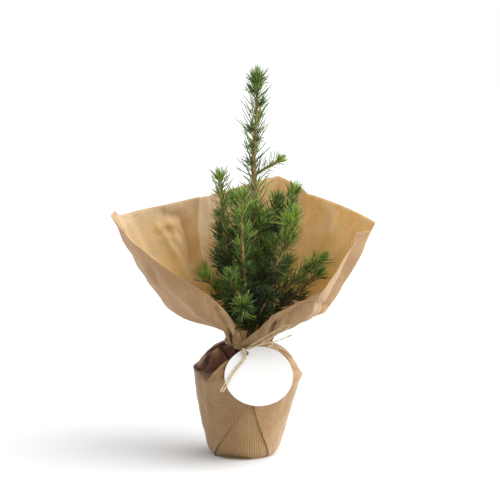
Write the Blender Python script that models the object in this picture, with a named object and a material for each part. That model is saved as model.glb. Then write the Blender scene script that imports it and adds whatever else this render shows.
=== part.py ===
"""A small potted Alberta spruce. Its pot is folded into one sheet of ribbed brown paper, which is tied
above the rim with twine and flares round the tree as an open collar, with a blank round card tag.

The origin is the middle of the flat underside, +Z is up and the tag faces -Y.
"""

import math
import random

import bmesh
import bpy
import numpy as np
from mathutils import Matrix, Vector

MM = 0.001

# Clearance between two solids that touch on the real plant
CLEAR = 0.3 * MM

# The pot leans a little to the right on the paper bunched under it, and its wrap leans with it
LEAN = math.radians(3.0)

# Pot: a round grower's pot of 9 cm, in its own leaning frame
POT_LIFT = 2.9 * MM
POT_WALL = 1.2 * MM
POT_FLOOR = 1.6 * MM
POT_PROFILE = ((22.9, 0.0), (26.3, 6.5), (38.6, 56.5), (40.3, 57.3), (43.2, 68.5))
SOIL_TOP = 55.5 * MM
POT_SIDES = 36

# Paper wrap below the tie: (radius, height) up its outer face, in millimetres
PAPER = 1.0 * MM
WRAP_PROFILE = (
    (27.0, 0.0),
    (31.4, 7.0),
    (34.5, 20.0),
    (37.6, 33.0),
    (40.6, 46.0),
    (43.3, 59.5),
    (45.6, 73.0),
    (43.6, 79.0),
    (40.0, 84.0),
    (34.8, 89.0),
    (27.5, 93.2),
    (21.6, 95.2),
    (19.2, 97.6),
)
SHOULDER_HEIGHT = 73 * MM
RIM_CORNER = 1.4 * MM

# Front panel of the wrap: its two overlapping edges as (height, left angle, right angle)
PANEL_EDGES = (
    (0.0, 207, 321),
    (7.0, 221, 312),
    (20.0, 240, 298),
    (33.0, 254, 288),
    (46.0, 267, 280),
    (59.5, 273, 276),
)
PANEL_STEP = 0.7 * MM
PANEL_TOP = 52 * MM
PANEL_COLUMNS = 4
SIDE_COLUMNS = 34

# The tie, which dips at the front and, with the lean, on the right
NECK_RADIUS = 19.2 * MM
TIE_HEIGHT = 97.6 * MM
TIE_DIP_FRONT = 3.4 * MM
NECK_CENTRE_X = math.tan(LEAN) * TIE_HEIGHT
PLEAT_DEPTH = 0.8 * MM

# Collar above the tie: its free edge as (angle, radius, height); the tips are sharp corners of the sheet
COLLAR_EDGE = (
    (2, 108, 200),
    (22, 88, 211),
    (46, 77, 219),
    (73, 90, 232),
    (98, 73, 223),
    (125, 67, 217),
    (155, 81, 212),
    (180, 118, 207),
    (190, 108, 194),
    (205, 92, 177),
    (222, 78, 161),
    (235, 58, 145),
    (244, 44, 130),
    (255, 30, 116),
    (268, 27.5, 111),
    (285, 31, 113),
    (298, 42, 127),
    (312, 61, 138),
    (322, 78, 150),
    (338, 88, 178),
    (350, 93, 196),
)
COLLAR_COLUMN_ANGLE = 8

# Up the collar from the tie: share of the way out, share of the way up and strength of the gathers
COLLAR_RISE = (
    (0.0, 0.0, 1.0),
    (0.012, 0.05, 1.0),
    (0.05, 0.11, 0.8),
    (0.17, 0.165, 0.5),
    (0.49, 0.25, 0.25),
    (0.60, 0.36, 0.1),
    (0.73, 0.53, 0.05),
    (0.87, 0.76, 0.0),
    (1.0, 1.0, 0.0),
)

# Twine and its knot
TWINE_RADIUS = 0.8 * MM
TWINE_SIDES = 4
TWINE_RING_STEPS = 26
KNOT_RADIUS = 2.3 * MM

# The long bight that lies on the card, as (x, distance up the card from its middle) in millimetres
TWINE_ON_CARD = (
    (0.2, 17),
    (-9.5, 2),
    (-16.5, -11),
    (-18.5, -15.5),
    (-16.3, -15.0),
    (-13.4, -9.5),
    (-7.3, 2.5),
    (2.2, 17),
)

# Tag: a round card that leans back on the shoulder of the wrap
TAG_RADIUS = 28.7 * MM
TAG_THICKNESS = 0.8 * MM
TAG_LEAN = math.radians(42.0)
TAG_X = 13.2 * MM
TAG_HEIGHT = 77 * MM
TAG_HOLE_RADIUS = 2.2 * MM
TAG_HOLE_X = 2.6 * MM
TAG_HOLE_UP = 22.0 * MM

# Trunk: centre line as (x, height) and radius by height, in millimetres
TRUNK_LINE = (
    (3.3, 58),
    (5.6, 100),
    (9.0, 170),
    (10.7, 230),
    (9.4, 246),
    (9.4, 266),
    (10.4, 280),
    (11.7, 294),
    (11.8, 323),
)
TRUNK_TAPER = ((7.2, 58), (5.2, 63), (4.3, 76), (3.9, 100), (2.7, 170), (2.0, 230), (1.4, 290), (0.9, 323))
TRUNK_SIDES = 8
TRUNK_RING_SPACING = 14 * MM

# Boughs: name, height on the trunk, tip of the foliage, spread (0.5 is straight, 0.9 turns well up),
# and the share of the limb that is bare before its foliage begins
BOUGHS = (
    ("left_upright", 128, (-20, 0, 241), 0.85, 0.52),
    ("front_upright", 118, (-1, -21, 230), 0.88, 0.40),
    ("right_back", 163, (45, 15, 230), 0.66, 0.50),
    ("back_upper", 174, (30, 19, 222), 0.72, 0.45),
    ("right_front", 140, (44, -16, 213), 0.72, 0.38),
    ("right_long", 123, (70, 8, 170), 0.52, 0.34),
    ("right_low", 112, (67, -9, 160), 0.56, 0.55),
    ("left_low", 116, (-34, -14, 157), 0.60, 0.38),
    ("front_left", 112, (-12, -31, 161), 0.60, 0.42),
    ("front_low", 108, (1, -40, 133), 0.58, 0.48),
    ("left_back", 132, (-23, 12, 197), 0.78, 0.38),
    ("centre_low", 114, (22, -27, 143), 0.60, 0.42),
    ("back_left", 120, (-23, 31, 171), 0.65, 0.38),
    ("back_middle", 124, (6, 45, 188), 0.70, 0.38),
    ("back_right", 118, (40, 29, 166), 0.60, 0.38),
    ("back_top", 158, (-7, 22, 224), 0.74, 0.40),
    ("top_right", 242, (33, -4, 256), 0.50, 0.36),
)
BOUGH_ROOT = 1.5 * MM
BOUGH_TIP = 1.15 * MM
BOUGH_SIDES = 6
BOUGH_RINGS = 5

# Leader: needles on sleeves round the trunk, as (name, foot, top) with short side tufts as (height, angle)
SLEEVES = (
    ("heart_low", 147, 156),
    ("heart_high", 178, 205),
    ("leader_foot", 209, 232),
    ("leader_low", 247, 267),
    ("leader_middle", 270, 293),
    ("leader_high", 296, 320),
)
SLEEVE_WALL = 0.6 * MM
SLEEVE_SIDES = 7
SLEEVE_STRIDE = 3
TUFTS = ((276, 195), (298, 350), (309, 170), (256, 100), (288, 60), (262, 235), (226, 110))
TUFT_LENGTH = 5 * MM
LEADER_BUD = 7 * MM

# Foliage: square stems and side twigs, thick enough to stand for the dense inner needles, with each
# needle rooted in the middle of one of their flats
STEM_RADIUS = 2.1 * MM
STEM_RINGS = 5
STEM_NECK = 3 * MM
TWIG_ROOT = 1.6 * MM
TWIG_TIP = 1.3 * MM
TWIG_LENGTH = 13 * MM
TWIG_SPACING = 13 * MM
TWIG_PITCH = math.radians(48)
NEEDLE_LENGTH = 12.0 * MM
NEEDLE_RADIUS = 0.75 * MM
NEEDLE_SINK = 0.6 * MM
NEEDLE_SPACING = 2.25 * MM
NEEDLE_PITCH = (math.radians(62), math.radians(40))
NEEDLE_TURN = math.radians(26)
BUD_PITCH = math.radians(27)
GAP = 0.45 * MM
OWN_GAP = 0.15 * MM
PAPER_GAP = 3.2 * MM
SPACE = 19 * MM
SEED = 7


def clear_scene():
    for item in list(bpy.data.objects):
        bpy.data.objects.remove(item, do_unlink=True)


def make_material(name, colour, roughness):
    made = bpy.data.materials.new(name)
    made.use_nodes = True
    shader = made.node_tree.nodes["Principled BSDF"]
    shader.inputs["Base Color"].default_value = (*colour, 1.0)
    shader.inputs["Roughness"].default_value = roughness
    made.diffuse_color = (*colour, 1.0)
    return made


def make_object(name, points, faces, look):
    mesh = bpy.data.meshes.new(name)
    mesh.from_pydata([tuple(point) for point in points], [], faces)
    work = bmesh.new()
    work.from_mesh(mesh)
    bmesh.ops.recalc_face_normals(work, faces=work.faces)
    work.to_mesh(mesh)
    work.free()
    mesh.materials.append(look)
    made = bpy.data.objects.new(name, mesh)
    bpy.context.scene.collection.objects.link(made)
    return made


def smooth_shade(item):
    item.data.shade_smooth()
    item.data.set_sharp_from_angle(angle=math.radians(35))


# Shapes: rings of points joined into closed skins

def skin(rings, closed_ends=True):
    """Points and faces of a run of rings, each ring a loop of as many points; flat ends if closed."""
    sides = len(rings[0])
    points = [point for ring in rings for point in ring]
    faces = []
    for row in range(len(rings) - 1):
        for column in range(sides):
            after = (column + 1) % sides
            low, high = row * sides, (row + 1) * sides
            faces.append((low + column, low + after, high + after, high + column))
    if closed_ends:
        faces.append(tuple(reversed(range(sides))))
        faces.append(tuple(range(len(points) - sides, len(points))))
    return points, faces


def hollow(outer, inner):
    """A skin that runs up the outer rings and back down the inner ones, joined at both ends."""
    points, faces = skin(list(outer) + list(reversed(inner)), closed_ends=False)
    sides = len(outer[0])
    last = len(points) - sides
    for column in range(sides):
        after = (column + 1) % sides
        faces.append((last + column, last + after, after, column))
    return points, faces


def frames(path):
    """A tangent and two normals at each point of a path, turned as little as possible along it."""
    found = []
    normal = None
    for index in range(len(path)):
        ahead = path[min(index + 1, len(path) - 1)]
        behind = path[max(index - 1, 0)]
        tangent = (ahead - behind).normalized()
        if normal is None:
            # Across the plane that the path bends in, so that the flats of a square tube stay flat
            normal = tangent.cross(path[-1] - path[0])
            if normal.length < 1e-3 * MM:
                normal = tangent.orthogonal()
        normal = (normal - tangent * normal.dot(tangent)).normalized()
        found.append((tangent, normal, tangent.cross(normal)))
    return found


def tube(path, radii, sides, seat=None):
    """A closed tube along a path. With a seat, its first ring lies in the plane across that direction."""
    rings = []
    for index, (tangent, normal, side) in enumerate(frames(path)):
        ring = []
        for corner in range(sides):
            turn = 2 * math.pi * (corner + 0.5) / sides
            arm = (normal * math.cos(turn) + side * math.sin(turn)) * radii[index]
            if index == 0 and seat is not None:
                arm -= tangent * (arm.dot(seat) / tangent.dot(seat))
            ring.append(path[index] + arm)
        rings.append(ring)
    return skin(rings)


def spike(root, tip, radius, seat=None):
    """A needle: three sides that rise from a small base to a point."""
    tangent = (tip - root).normalized()
    normal = tangent.orthogonal()
    side = tangent.cross(normal)
    points = []
    for corner in range(3):
        turn = 2 * math.pi * corner / 3
        arm = (normal * math.cos(turn) + side * math.sin(turn)) * radius
        if seat is not None:
            arm -= tangent * (arm.dot(seat) / tangent.dot(seat))
        points.append(root + arm)
    return points + [tip], [(0, 2, 1), (0, 1, 3), (1, 2, 3), (2, 0, 3)]


def bezier(start, middle, end, count):
    found = []
    for step in range(count):
        share = step / (count - 1)
        found.append(start * (1 - share) ** 2 + middle * 2 * share * (1 - share) + end * share**2)
    return found


def lerp(low, high, share):
    return low + (high - low) * share


def offset_profile(profile, distance):
    """The profile moved to its left by a distance, point by point."""
    found = []
    for index in range(len(profile)):
        ahead = profile[min(index + 1, len(profile) - 1)]
        behind = profile[max(index - 1, 0)]
        run, rise = ahead[0] - behind[0], ahead[1] - behind[1]
        size = math.hypot(run, rise)
        found.append((profile[index][0] - rise / size * distance, profile[index][1] + run / size * distance))
    return found


def union(base, pieces):
    """Fuses loose pieces, each (points, faces), onto a base object with one Boolean on their collection."""
    helpers = bpy.data.collections.new(base.name + " pieces")
    bpy.context.scene.collection.children.link(helpers)
    for number, (points, faces) in enumerate(pieces):
        mesh = bpy.data.meshes.new(f"{base.name} piece {number}")
        mesh.from_pydata([tuple(point) for point in points], [], faces)
        helpers.objects.link(bpy.data.objects.new(mesh.name, mesh))
    fuse = base.modifiers.new("Fuse", "BOOLEAN")
    fuse.operation = "UNION"
    fuse.operand_type = "COLLECTION"
    fuse.collection = helpers
    fuse.solver = "EXACT"
    graph = bpy.context.evaluated_depsgraph_get()
    fused = bpy.data.meshes.new_from_object(base.evaluated_get(graph))
    base.modifiers.clear()
    look = base.data.materials[0]
    base.data = fused
    fused.materials.clear()
    fused.materials.append(look)
    for item in list(helpers.objects):
        bpy.data.objects.remove(item, do_unlink=True)
    bpy.data.collections.remove(helpers)


# Pot and soil

def turned(profile, sides):
    rings = []
    for radius, height in profile:
        turns = [2 * math.pi * corner / sides for corner in range(sides)]
        rings.append([Vector((radius * math.cos(turn), radius * math.sin(turn), height)) for turn in turns])
    return rings


def pot_bore(height):
    """Inner radius of the pot at a height."""
    radii, heights = zip(*POT_PROFILE)
    return float(np.interp(height / MM, heights, radii)) * MM - POT_WALL


def pot_frame():
    return Matrix.Translation((0, 0, POT_LIFT)) @ Matrix.Rotation(LEAN, 4, "Y")


def make_pot(look):
    outer = [(radius * MM, height * MM) for radius, height in POT_PROFILE]
    # The lip thickens only outwards, so the bore has no step under it
    heights = [POT_FLOOR] + [height for radius, height in outer[1:]]
    heights.remove(outer[3][1])
    inner = [(pot_bore(height), height) for height in heights]
    rings = turned(outer, POT_SIDES) + list(reversed(turned(inner, POT_SIDES)))
    made = make_object("pot", *skin(rings), look)
    made.matrix_world = pot_frame()
    smooth_shade(made)


def make_soil(look):
    heights = (POT_FLOOR + CLEAR, POT_PROFILE[1][1] * MM, SOIL_TOP)
    rings = turned([(pot_bore(height) - 1.5 * CLEAR, height) for height in heights], POT_SIDES)
    made = make_object("soil", *skin(rings), look)
    made.matrix_world = pot_frame()
    smooth_shade(made)


# Paper wrap and collar

def pleat(turn):
    """Uneven gathers round the neck, from -1 to 1."""
    return 0.55 * math.sin(11 * turn + 0.6) + 0.45 * math.sin(17 * turn + 2.1)


def tie_height(turn):
    return TIE_HEIGHT + TIE_DIP_FRONT * math.sin(turn) - math.tan(LEAN) * NECK_RADIUS * math.cos(turn)


def panel_edges(height):
    heights, left, right = zip(*PANEL_EDGES)
    found = np.interp(height / MM, heights, left), np.interp(height / MM, heights, right)
    return math.radians(found[0]), math.radians(found[1])


def wrap_columns(height):
    """Angles round the wrap at a height, each with 1 on the side panels and 0 on the front panel."""
    left, right = panel_edges(height)
    lap = math.radians(1.1)
    columns = []
    for step in range(PANEL_COLUMNS):
        columns.append((lerp(left + lap / 2, right - lap / 2, step / (PANEL_COLUMNS - 1)), 0))
    for step in range(SIDE_COLUMNS):
        columns.append((lerp(right + lap / 2, left + 2 * math.pi - lap / 2, step / (SIDE_COLUMNS - 1)), 1))
    return columns


def wrap_ring(radius, height, lapped):
    """One ring of the wrap. Lapped rings follow the overlap of the side panels on the front panel."""
    shoulder = max(0.0, (height - SHOULDER_HEIGHT) / (TIE_HEIGHT - SHOULDER_HEIGHT))
    corner = RIM_CORNER * max(0.0, 1 - abs(height - SHOULDER_HEIGHT) / (16 * MM))
    ring = []
    for turn, side in wrap_columns(height if lapped else TIE_HEIGHT):
        reach = radius + corner * abs(math.cos(turn)) ** 8 + PLEAT_DEPTH * min(1, 2 * shoulder) * pleat(turn)
        if lapped and not side and height < PANEL_TOP:
            reach -= PANEL_STEP
        level = height + TIE_DIP_FRONT * math.sin(turn) * shoulder**2
        level -= math.tan(LEAN) * reach * math.cos(turn) * min(1.0, height / SHOULDER_HEIGHT)
        centre = math.tan(LEAN) * height
        ring.append(Vector((centre + reach * math.cos(turn), reach * math.sin(turn), level)))
    return ring


def make_wrap(look):
    outer = [(radius * MM, height * MM) for radius, height in WRAP_PROFILE]
    inner = offset_profile(outer, PAPER)
    inner[0] = (outer[0][0] - PAPER / 2, PAPER)
    inner[-1] = (outer[-1][0] - PAPER, outer[-1][1])
    # The straight wall between the foot and the shoulder needs no rows inside
    inner = inner[:2] + inner[6:]
    rings = [wrap_ring(radius, height, True) for radius, height in outer]
    rings += [wrap_ring(radius - PANEL_STEP, height, False) for radius, height in reversed(inner)]
    return make_object("pot_wrap", *skin(rings), look)


def collar_columns():
    """Angle, edge radius and edge height of each column round the collar, with a column on each tip."""
    columns = []
    count = len(COLLAR_EDGE)
    for index in range(count):
        angle, radius, height = COLLAR_EDGE[index]
        ahead = COLLAR_EDGE[(index + 1) % count]
        span = (ahead[0] - angle) % 360
        steps = max(1, round(span / COLLAR_COLUMN_ANGLE))
        for step in range(steps):
            share = step / steps
            turn = math.radians(angle + span * share)
            columns.append((turn, lerp(radius, ahead[1], share) * MM, lerp(height, ahead[2], share) * MM))
    return columns


def collar_profile(turn, edge_radius, edge_height):
    """(radius, height) up the collar's outer face at one angle: out from the tie, a knee, then up."""
    foot = tie_height(turn) + CLEAR
    run, rise = edge_radius - NECK_RADIUS, edge_height - foot
    gather = PLEAT_DEPTH * pleat(turn)
    return [(NECK_RADIUS + run * out + gather * fold, foot + rise * up) for out, up, fold in COLLAR_RISE]


def collar_point(turn, radius, height):
    return Vector((NECK_CENTRE_X + radius * math.cos(turn), radius * math.sin(turn), height))


def make_collar(look):
    outer, inner = [], []
    for column in collar_columns():
        profile = collar_profile(*column)
        outer.append([collar_point(column[0], *point) for point in profile])
        inner.append([collar_point(column[0], *point) for point in offset_profile(profile, PAPER)])
    rows = range(len(outer[0]))
    outer_rings = [[column[row] for column in outer] for row in rows]
    inner_rings = [[column[row] for column in inner] for row in rows]
    return make_object("paper_collar", *hollow(outer_rings, inner_rings), look)


# Tag and twine

def tag_axes():
    """The card's normal, facing the viewer, and the direction up its face."""
    normal = Vector((0, -math.cos(TAG_LEAN), math.sin(TAG_LEAN)))
    return normal, Vector((0, math.sin(TAG_LEAN), math.cos(TAG_LEAN)))


def tag_centre(wrap):
    """The card's centre when its back rests on the shoulder of the wrap."""
    normal, up = tag_axes()
    across = Vector((1, 0, 0))
    middle = Vector((TAG_X, 0, TAG_HEIGHT))
    furthest = -1.0
    for vertex in wrap.data.vertices:
        arm = vertex.co - middle
        if vertex.co.y < 0 and math.hypot(arm.dot(across), arm.dot(up)) < TAG_RADIUS + 12 * MM:
            furthest = max(furthest, arm.dot(normal))
    along = furthest + CLEAR + TAG_THICKNESS / 2
    # Sliding the centre along -Y keeps its height while it moves out along the normal
    return middle + Vector((0, -along / math.cos(TAG_LEAN), 0))


def disc(centre, radius, thickness, sides):
    normal, up = tag_axes()
    across = Vector((1, 0, 0))
    rings = []
    for end in (-0.5, 0.5):
        turns = [2 * math.pi * corner / sides for corner in range(sides)]
        ring = [across * (radius * math.cos(turn)) + up * (radius * math.sin(turn)) for turn in turns]
        rings.append([centre + normal * (thickness * end) + arm for arm in ring])
    return rings


def hole_centre(centre):
    return centre + Vector((TAG_HOLE_X - TAG_X, 0, 0)) + tag_axes()[1] * TAG_HOLE_UP


def make_tag(centre, look):
    made = make_object("tag", *skin(disc(centre, TAG_RADIUS, TAG_THICKNESS, 44)), look)
    points, faces = skin(disc(hole_centre(centre), TAG_HOLE_RADIUS, 4 * TAG_THICKNESS, 14))
    cutter = make_object("tag hole cutter", points, faces, look)
    cutter.hide_render = True
    cutter.display_type = "WIRE"
    cut = made.modifiers.new("Hole", "BOOLEAN")
    cut.operation = "DIFFERENCE"
    cut.object = cutter
    cut.solver = "EXACT"


def ball(centre, radius, sides=8):
    rings = []
    for step in range(1, 5):
        tilt = math.pi * step / 5
        turns = [2 * math.pi * corner / sides for corner in range(sides)]
        size = radius * math.sin(tilt)
        rings.append(
            [centre + Vector((size * math.cos(turn), size * math.sin(turn), -radius * math.cos(tilt))) for turn in turns]
        )
    return skin(rings)


def strand(stops, count):
    """A smooth path through a few stops, by Catmull and Rom's rule."""
    stops = [Vector(stop) for stop in stops]
    padded = [stops[0] * 2 - stops[1]] + stops + [stops[-1] * 2 - stops[-2]]
    path = []
    for index in range(1, len(padded) - 2):
        before, low, high, after = padded[index - 1 : index + 3]
        for step in range(count):
            share = step / count
            bend = 2 * low + (high - before) * share
            bend += (2 * before - 5 * low + 4 * high - after) * share**2
            bend += (3 * low - before - 3 * high + after) * share**3
            path.append(bend / 2)
    return path + [padded[-2]]


def make_twine(centre, look):
    normal, up = tag_axes()
    hole = hole_centre(centre)
    lift = normal * (TAG_THICKNESS / 2 + CLEAR + TWINE_RADIUS)
    knot = hole + normal * (TAG_THICKNESS / 2 + CLEAR + KNOT_RADIUS)
    turns = [2 * math.pi * step / TWINE_RING_STEPS for step in range(TWINE_RING_STEPS)]
    neck = NECK_RADIUS + PLEAT_DEPTH + CLEAR + TWINE_RADIUS + 0.15 * MM
    rings = []
    for turn in turns:
        outward = Vector((math.cos(turn), math.sin(turn), 0))
        middle = Vector((NECK_CENTRE_X, 0, tie_height(turn))) + outward * neck
        bends = [2 * math.pi * corner / TWINE_SIDES for corner in range(TWINE_SIDES)]
        rise = Vector((0, 0, 1))
        rings.append([middle + (outward * math.cos(bend) + rise * math.sin(bend)) * TWINE_RADIUS for bend in bends])
    points, faces = skin(rings, closed_ends=False)
    last = len(points) - TWINE_SIDES
    for column in range(TWINE_SIDES):
        after = (column + 1) % TWINE_SIDES
        faces.append((last + column, last + after, after, column))
    made = make_object("twine", points, faces, look)

    front = math.radians(268)
    start = Vector((NECK_CENTRE_X, 0, tie_height(front))) + Vector((math.cos(front), math.sin(front), 0)) * neck
    link = [start, hole - normal * 2.5 * MM, hole + normal * 0.2 * MM, knot]
    lower = [knot]
    for across, height in TWINE_ON_CARD:
        lower.append(centre + lift + Vector((across * MM - TAG_X, 0, 0)) + up * (height * MM))
    lower.append(knot)
    upper = [knot, knot + Vector((9, -0.5, 6)) * MM, knot + Vector((21, -1.5, 13.5)) * MM]
    upper += [Vector((37.0, -42.5, 119.5)) * MM, Vector((38.6, -43.5, 118.0)) * MM]
    upper += [knot + Vector((22.5, -3.5, 11.2)) * MM, knot + Vector((10, -3, 4.0)) * MM, knot]
    loose = [knot, knot + Vector((12, -4.6, 5.2)) * MM, Vector((30, -42, 106.5)) * MM, Vector((41.5, -43, 111.5)) * MM]
    pieces = [ball(knot, KNOT_RADIUS)]
    for stops, count in ((link, 2), (lower, 2), (upper, 3), (loose, 3)):
        path = strand(stops, count)
        pieces.append(tube(path, [TWINE_RADIUS] * len(path), TWINE_SIDES))
    union(made, pieces)


# Trunk and boughs

def trunk_point(height):
    across, heights = zip(*TRUNK_LINE)
    return Vector((np.interp(height / MM, heights, across) * MM, 0, height))


def trunk_radius(height):
    radii, heights = zip(*TRUNK_TAPER)
    return float(np.interp(height / MM, heights, radii)) * MM


def soil_level():
    """Height of the trunk's flat foot, clear of the leaning top of the soil."""
    return (pot_frame() @ Vector((0, 0, SOIL_TOP))).z + CLEAR + math.tan(LEAN) * TRUNK_TAPER[0][0] * MM


def make_trunk(look):
    foot = soil_level()
    bends = [foot + 5 * MM, foot + 18 * MM] + [height * MM for across, height in TRUNK_LINE[1:]]
    heights = [foot]
    for low, high in zip(bends, bends[1:]):
        count = max(1, round((high - low) / TRUNK_RING_SPACING))
        heights += [lerp(low, high, step / count) for step in range(count)]
    heights.append(bends[-1])
    rings = []
    for height in heights:
        turns = [2 * math.pi * corner / TRUNK_SIDES for corner in range(TRUNK_SIDES)]
        radius = trunk_radius(height)
        middle = trunk_point(height)
        rings.append([middle + Vector((math.cos(turn), math.sin(turn), 0)) * radius for turn in turns])
    smooth_shade(make_object("trunk", *skin(rings), look))


def limb(height, tip, spread):
    """The curve of a whole limb from the trunk's bark to the tip of its foliage, and its outward direction."""
    axis = trunk_point(height * MM)
    tip = Vector(tip) * MM
    outward = Vector((tip.x - axis.x, tip.y - axis.y, 0)).normalized()
    root = axis + outward * (trunk_radius(height * MM) + CLEAR + 0.05 * MM)
    rise = 1 - 0.95 * spread
    middle = Vector((lerp(root.x, tip.x, spread), lerp(root.y, tip.y, spread), lerp(root.z, tip.z, rise)))
    return bezier(root, middle, tip, 61), outward


def shorten(path, gap):
    """The path with its first stretch, as long as the gap, cut away."""
    walked = 0.0
    for index in range(1, len(path)):
        step = (path[index] - path[index - 1]).length
        if walked + step >= gap:
            return [path[index - 1].lerp(path[index], (gap - walked) / step)] + path[index:]
        walked += step
    return path[-2:]


def path_points(path):
    """Closely spaced points along a path."""
    return [low.lerp(high, step / 8) for low, high in zip(path, path[1:]) for step in range(9)]


def thin(path, count):
    """A path of fewer points, evenly spread over the old ones."""
    return [path[round(lerp(0, len(path) - 1, step / (count - 1)))] for step in range(count)]


# Foliage

class Crown:
    """Every limb, twig and needle so far, so that the next one can keep clear of the others' solids."""

    def __init__(self, paper):
        self.starts, self.ends, self.radii, self.owners, self.leaves = [], [], [], [], []
        self.paper = np.array(paper)

    def add(self, owner, start, end, radius, leaf=False):
        self.starts.append(tuple(start))
        self.ends.append(tuple(end))
        self.radii.append(radius)
        self.owners.append(owner)
        self.leaves.append(leaf)

    def add_path(self, owner, path, radius):
        for low, high in zip(path, path[1:]):
            self.add(owner, low, high, radius)

    def is_free(self, owner, start, end, radius):
        """Whether a straight twig or needle keeps its gap to other masses and limbs, and to its own needles."""
        spots = np.linspace(np.array(start), np.array(end), 9)
        if np.linalg.norm(self.paper[None] - spots[:, None], axis=2).min() < PAPER_GAP:
            return False
        own = np.array([name == owner for name in self.owners])
        met = ~own | np.array(self.leaves)
        low, high = np.array(self.starts)[met], np.array(self.ends)[met]
        run = high - low
        share = ((spots[:, None] - low) * run).sum(2) / (run * run).sum(1)
        nearest = low + run * np.clip(share, 0, 1)[..., None]
        gaps = np.linalg.norm(spots[:, None] - nearest, axis=2) - np.array(self.radii)[met]
        return (gaps - np.where(own[met], OWN_GAP, GAP)).min() > radius


class Mass:
    """One mass of foliage: a stem, its side twigs and their needles, fused into one solid."""

    def __init__(self, name, crown, axis, chance):
        self.name = name
        self.crown = crown
        self.axis = np.array([tuple(point) for point in axis])
        self.chance = chance
        self.pieces = []
        self.flat = chance.randrange(4)

    def inside(self, point):
        return np.linalg.norm(self.axis - np.array(point), axis=1).min() < SPACE

    def needle(self, place, flat, direction, length):
        """A needle that leaves through a place on a flat, its root sunk below it; skipped without room."""
        tip = place + direction * length
        clear_from = place + direction * 1.4 * MM
        size = NEEDLE_RADIUS * 0.6
        if not self.inside(tip) or not self.crown.is_free(self.name, clear_from, tip, size):
            return
        root = place - direction * (NEEDLE_SINK / direction.dot(flat))
        self.pieces.append(spike(root, tip, NEEDLE_RADIUS, flat))
        self.crown.add(self.name, clear_from, tip, size, leaf=True)

    def next_flat(self, normal, side):
        """The flats of a square twig in turn, each opposite the one before."""
        self.flat += 1
        return (normal, -normal, side, -side)[self.flat % 4]

    def needles_along(self, path, radii, first=0.0):
        """Needles up the flats of a twig, lying closer to it towards its tip, and a bunch round its bud."""
        fitted = frames(path)
        rows = len(path) - 1
        for row in range(rows):
            low, high = path[row], path[row + 1]
            tangent = (high - low).normalized()
            normal, side = fitted[row][1], fitted[row][2]
            start = first if row == 0 else 0.0
            if radii[row] < radii[row + 1]:
                continue
            length = (high - low).length - start
            count = int(length / NEEDLE_SPACING)
            for number in range(count):
                share = (start + length * (number + 0.5) / count) / (start + length)
                along = (row + share) / rows
                radius = lerp(radii[row], radii[row + 1], share)
                flat = self.next_flat(normal, side)
                place = low.lerp(high, share) + flat * (radius * math.cos(math.pi / 4))
                swing = self.chance.uniform(-NEEDLE_TURN, NEEDLE_TURN)
                pitch = lerp(*NEEDLE_PITCH, along) + self.chance.uniform(-0.1, 0.1)
                radial = Matrix.Rotation(swing, 3, tangent) @ flat
                direction = (tangent * math.cos(pitch) + radial * math.sin(pitch)).normalized()
                size = NEEDLE_LENGTH * self.chance.uniform(0.85, 1.15)
                self.needle(place, flat, direction, size)
        tangent, normal, side = fitted[-1]
        tangent = (path[-1] - path[-2]).normalized()
        self.needle(path[-1], tangent, tangent, NEEDLE_LENGTH * 0.8)
        for flat in (normal, side, -normal, -side):
            place = path[-1] - tangent * 2.0 * MM + flat * (radii[-1] * math.cos(math.pi / 4))
            pitch = BUD_PITCH + self.chance.uniform(-0.1, 0.1)
            self.needle(place, flat, tangent * math.cos(pitch) + flat * math.sin(pitch), NEEDLE_LENGTH * 0.75)

    def twig(self, place, flat, tangent, length):
        """A side twig that leaves a flat at a pitch, with its needles; skipped where it has no room."""
        out = tangent * math.cos(TWIG_PITCH) + flat * math.sin(TWIG_PITCH)
        tip = place + out * length
        if not self.inside(tip) or not self.crown.is_free(self.name, place + out * 2 * MM, tip, TWIG_ROOT):
            return
        path = [place - out * (NEEDLE_SINK / out.dot(flat)), tip]
        radii = [TWIG_ROOT, TWIG_TIP]
        self.pieces.append(tube(path, radii, 4, flat))
        self.crown.add(self.name, place + out * 2 * MM, tip, TWIG_ROOT)
        self.needles_along(path, radii, first=2.5 * MM)

    def grow(self, path, radii, stem):
        """Side twigs at even distances up the stem, and needles on the stem itself."""
        total = sum((high - low).length for low, high in zip(path, path[1:]))
        fitted = frames(path)
        count = int(total * 0.8 / TWIG_SPACING)
        rows = len(path) - 2
        for number in range(count):
            share = (number + 0.4) / (count + 0.4) * 0.8
            # The first row is the stem's narrow neck, which carries nothing
            row = 1 + min(int(share * rows), rows - 1)
            part = share * rows - row + 1
            tangent = (path[row + 1] - path[row]).normalized()
            flat = self.next_flat(fitted[row][1], fitted[row][2])
            radius = lerp(radii[row], radii[row + 1], part)
            place = path[row].lerp(path[row + 1], part) + flat * (radius * math.cos(math.pi / 4))
            self.twig(place, flat, tangent, TWIG_LENGTH * lerp(1.0, 0.6, share))
        self.needles_along(path, radii)
        union(stem, self.pieces)


def sleeve_flat(height):
    """Distance from the trunk's middle to the flats of a sleeve's bore, which clear the trunk's corners."""
    return trunk_radius(height) + CLEAR + 0.05 * MM


def sleeve_place(height, side):
    """The middle of one of a sleeve's outer flats at a height, and the direction that the flat faces."""
    turn = 2 * math.pi * side / SLEEVE_SIDES
    flat = Vector((math.cos(turn), math.sin(turn), 0))
    return trunk_point(height) + flat * (sleeve_flat(height) + SLEEVE_WALL), flat


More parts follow.
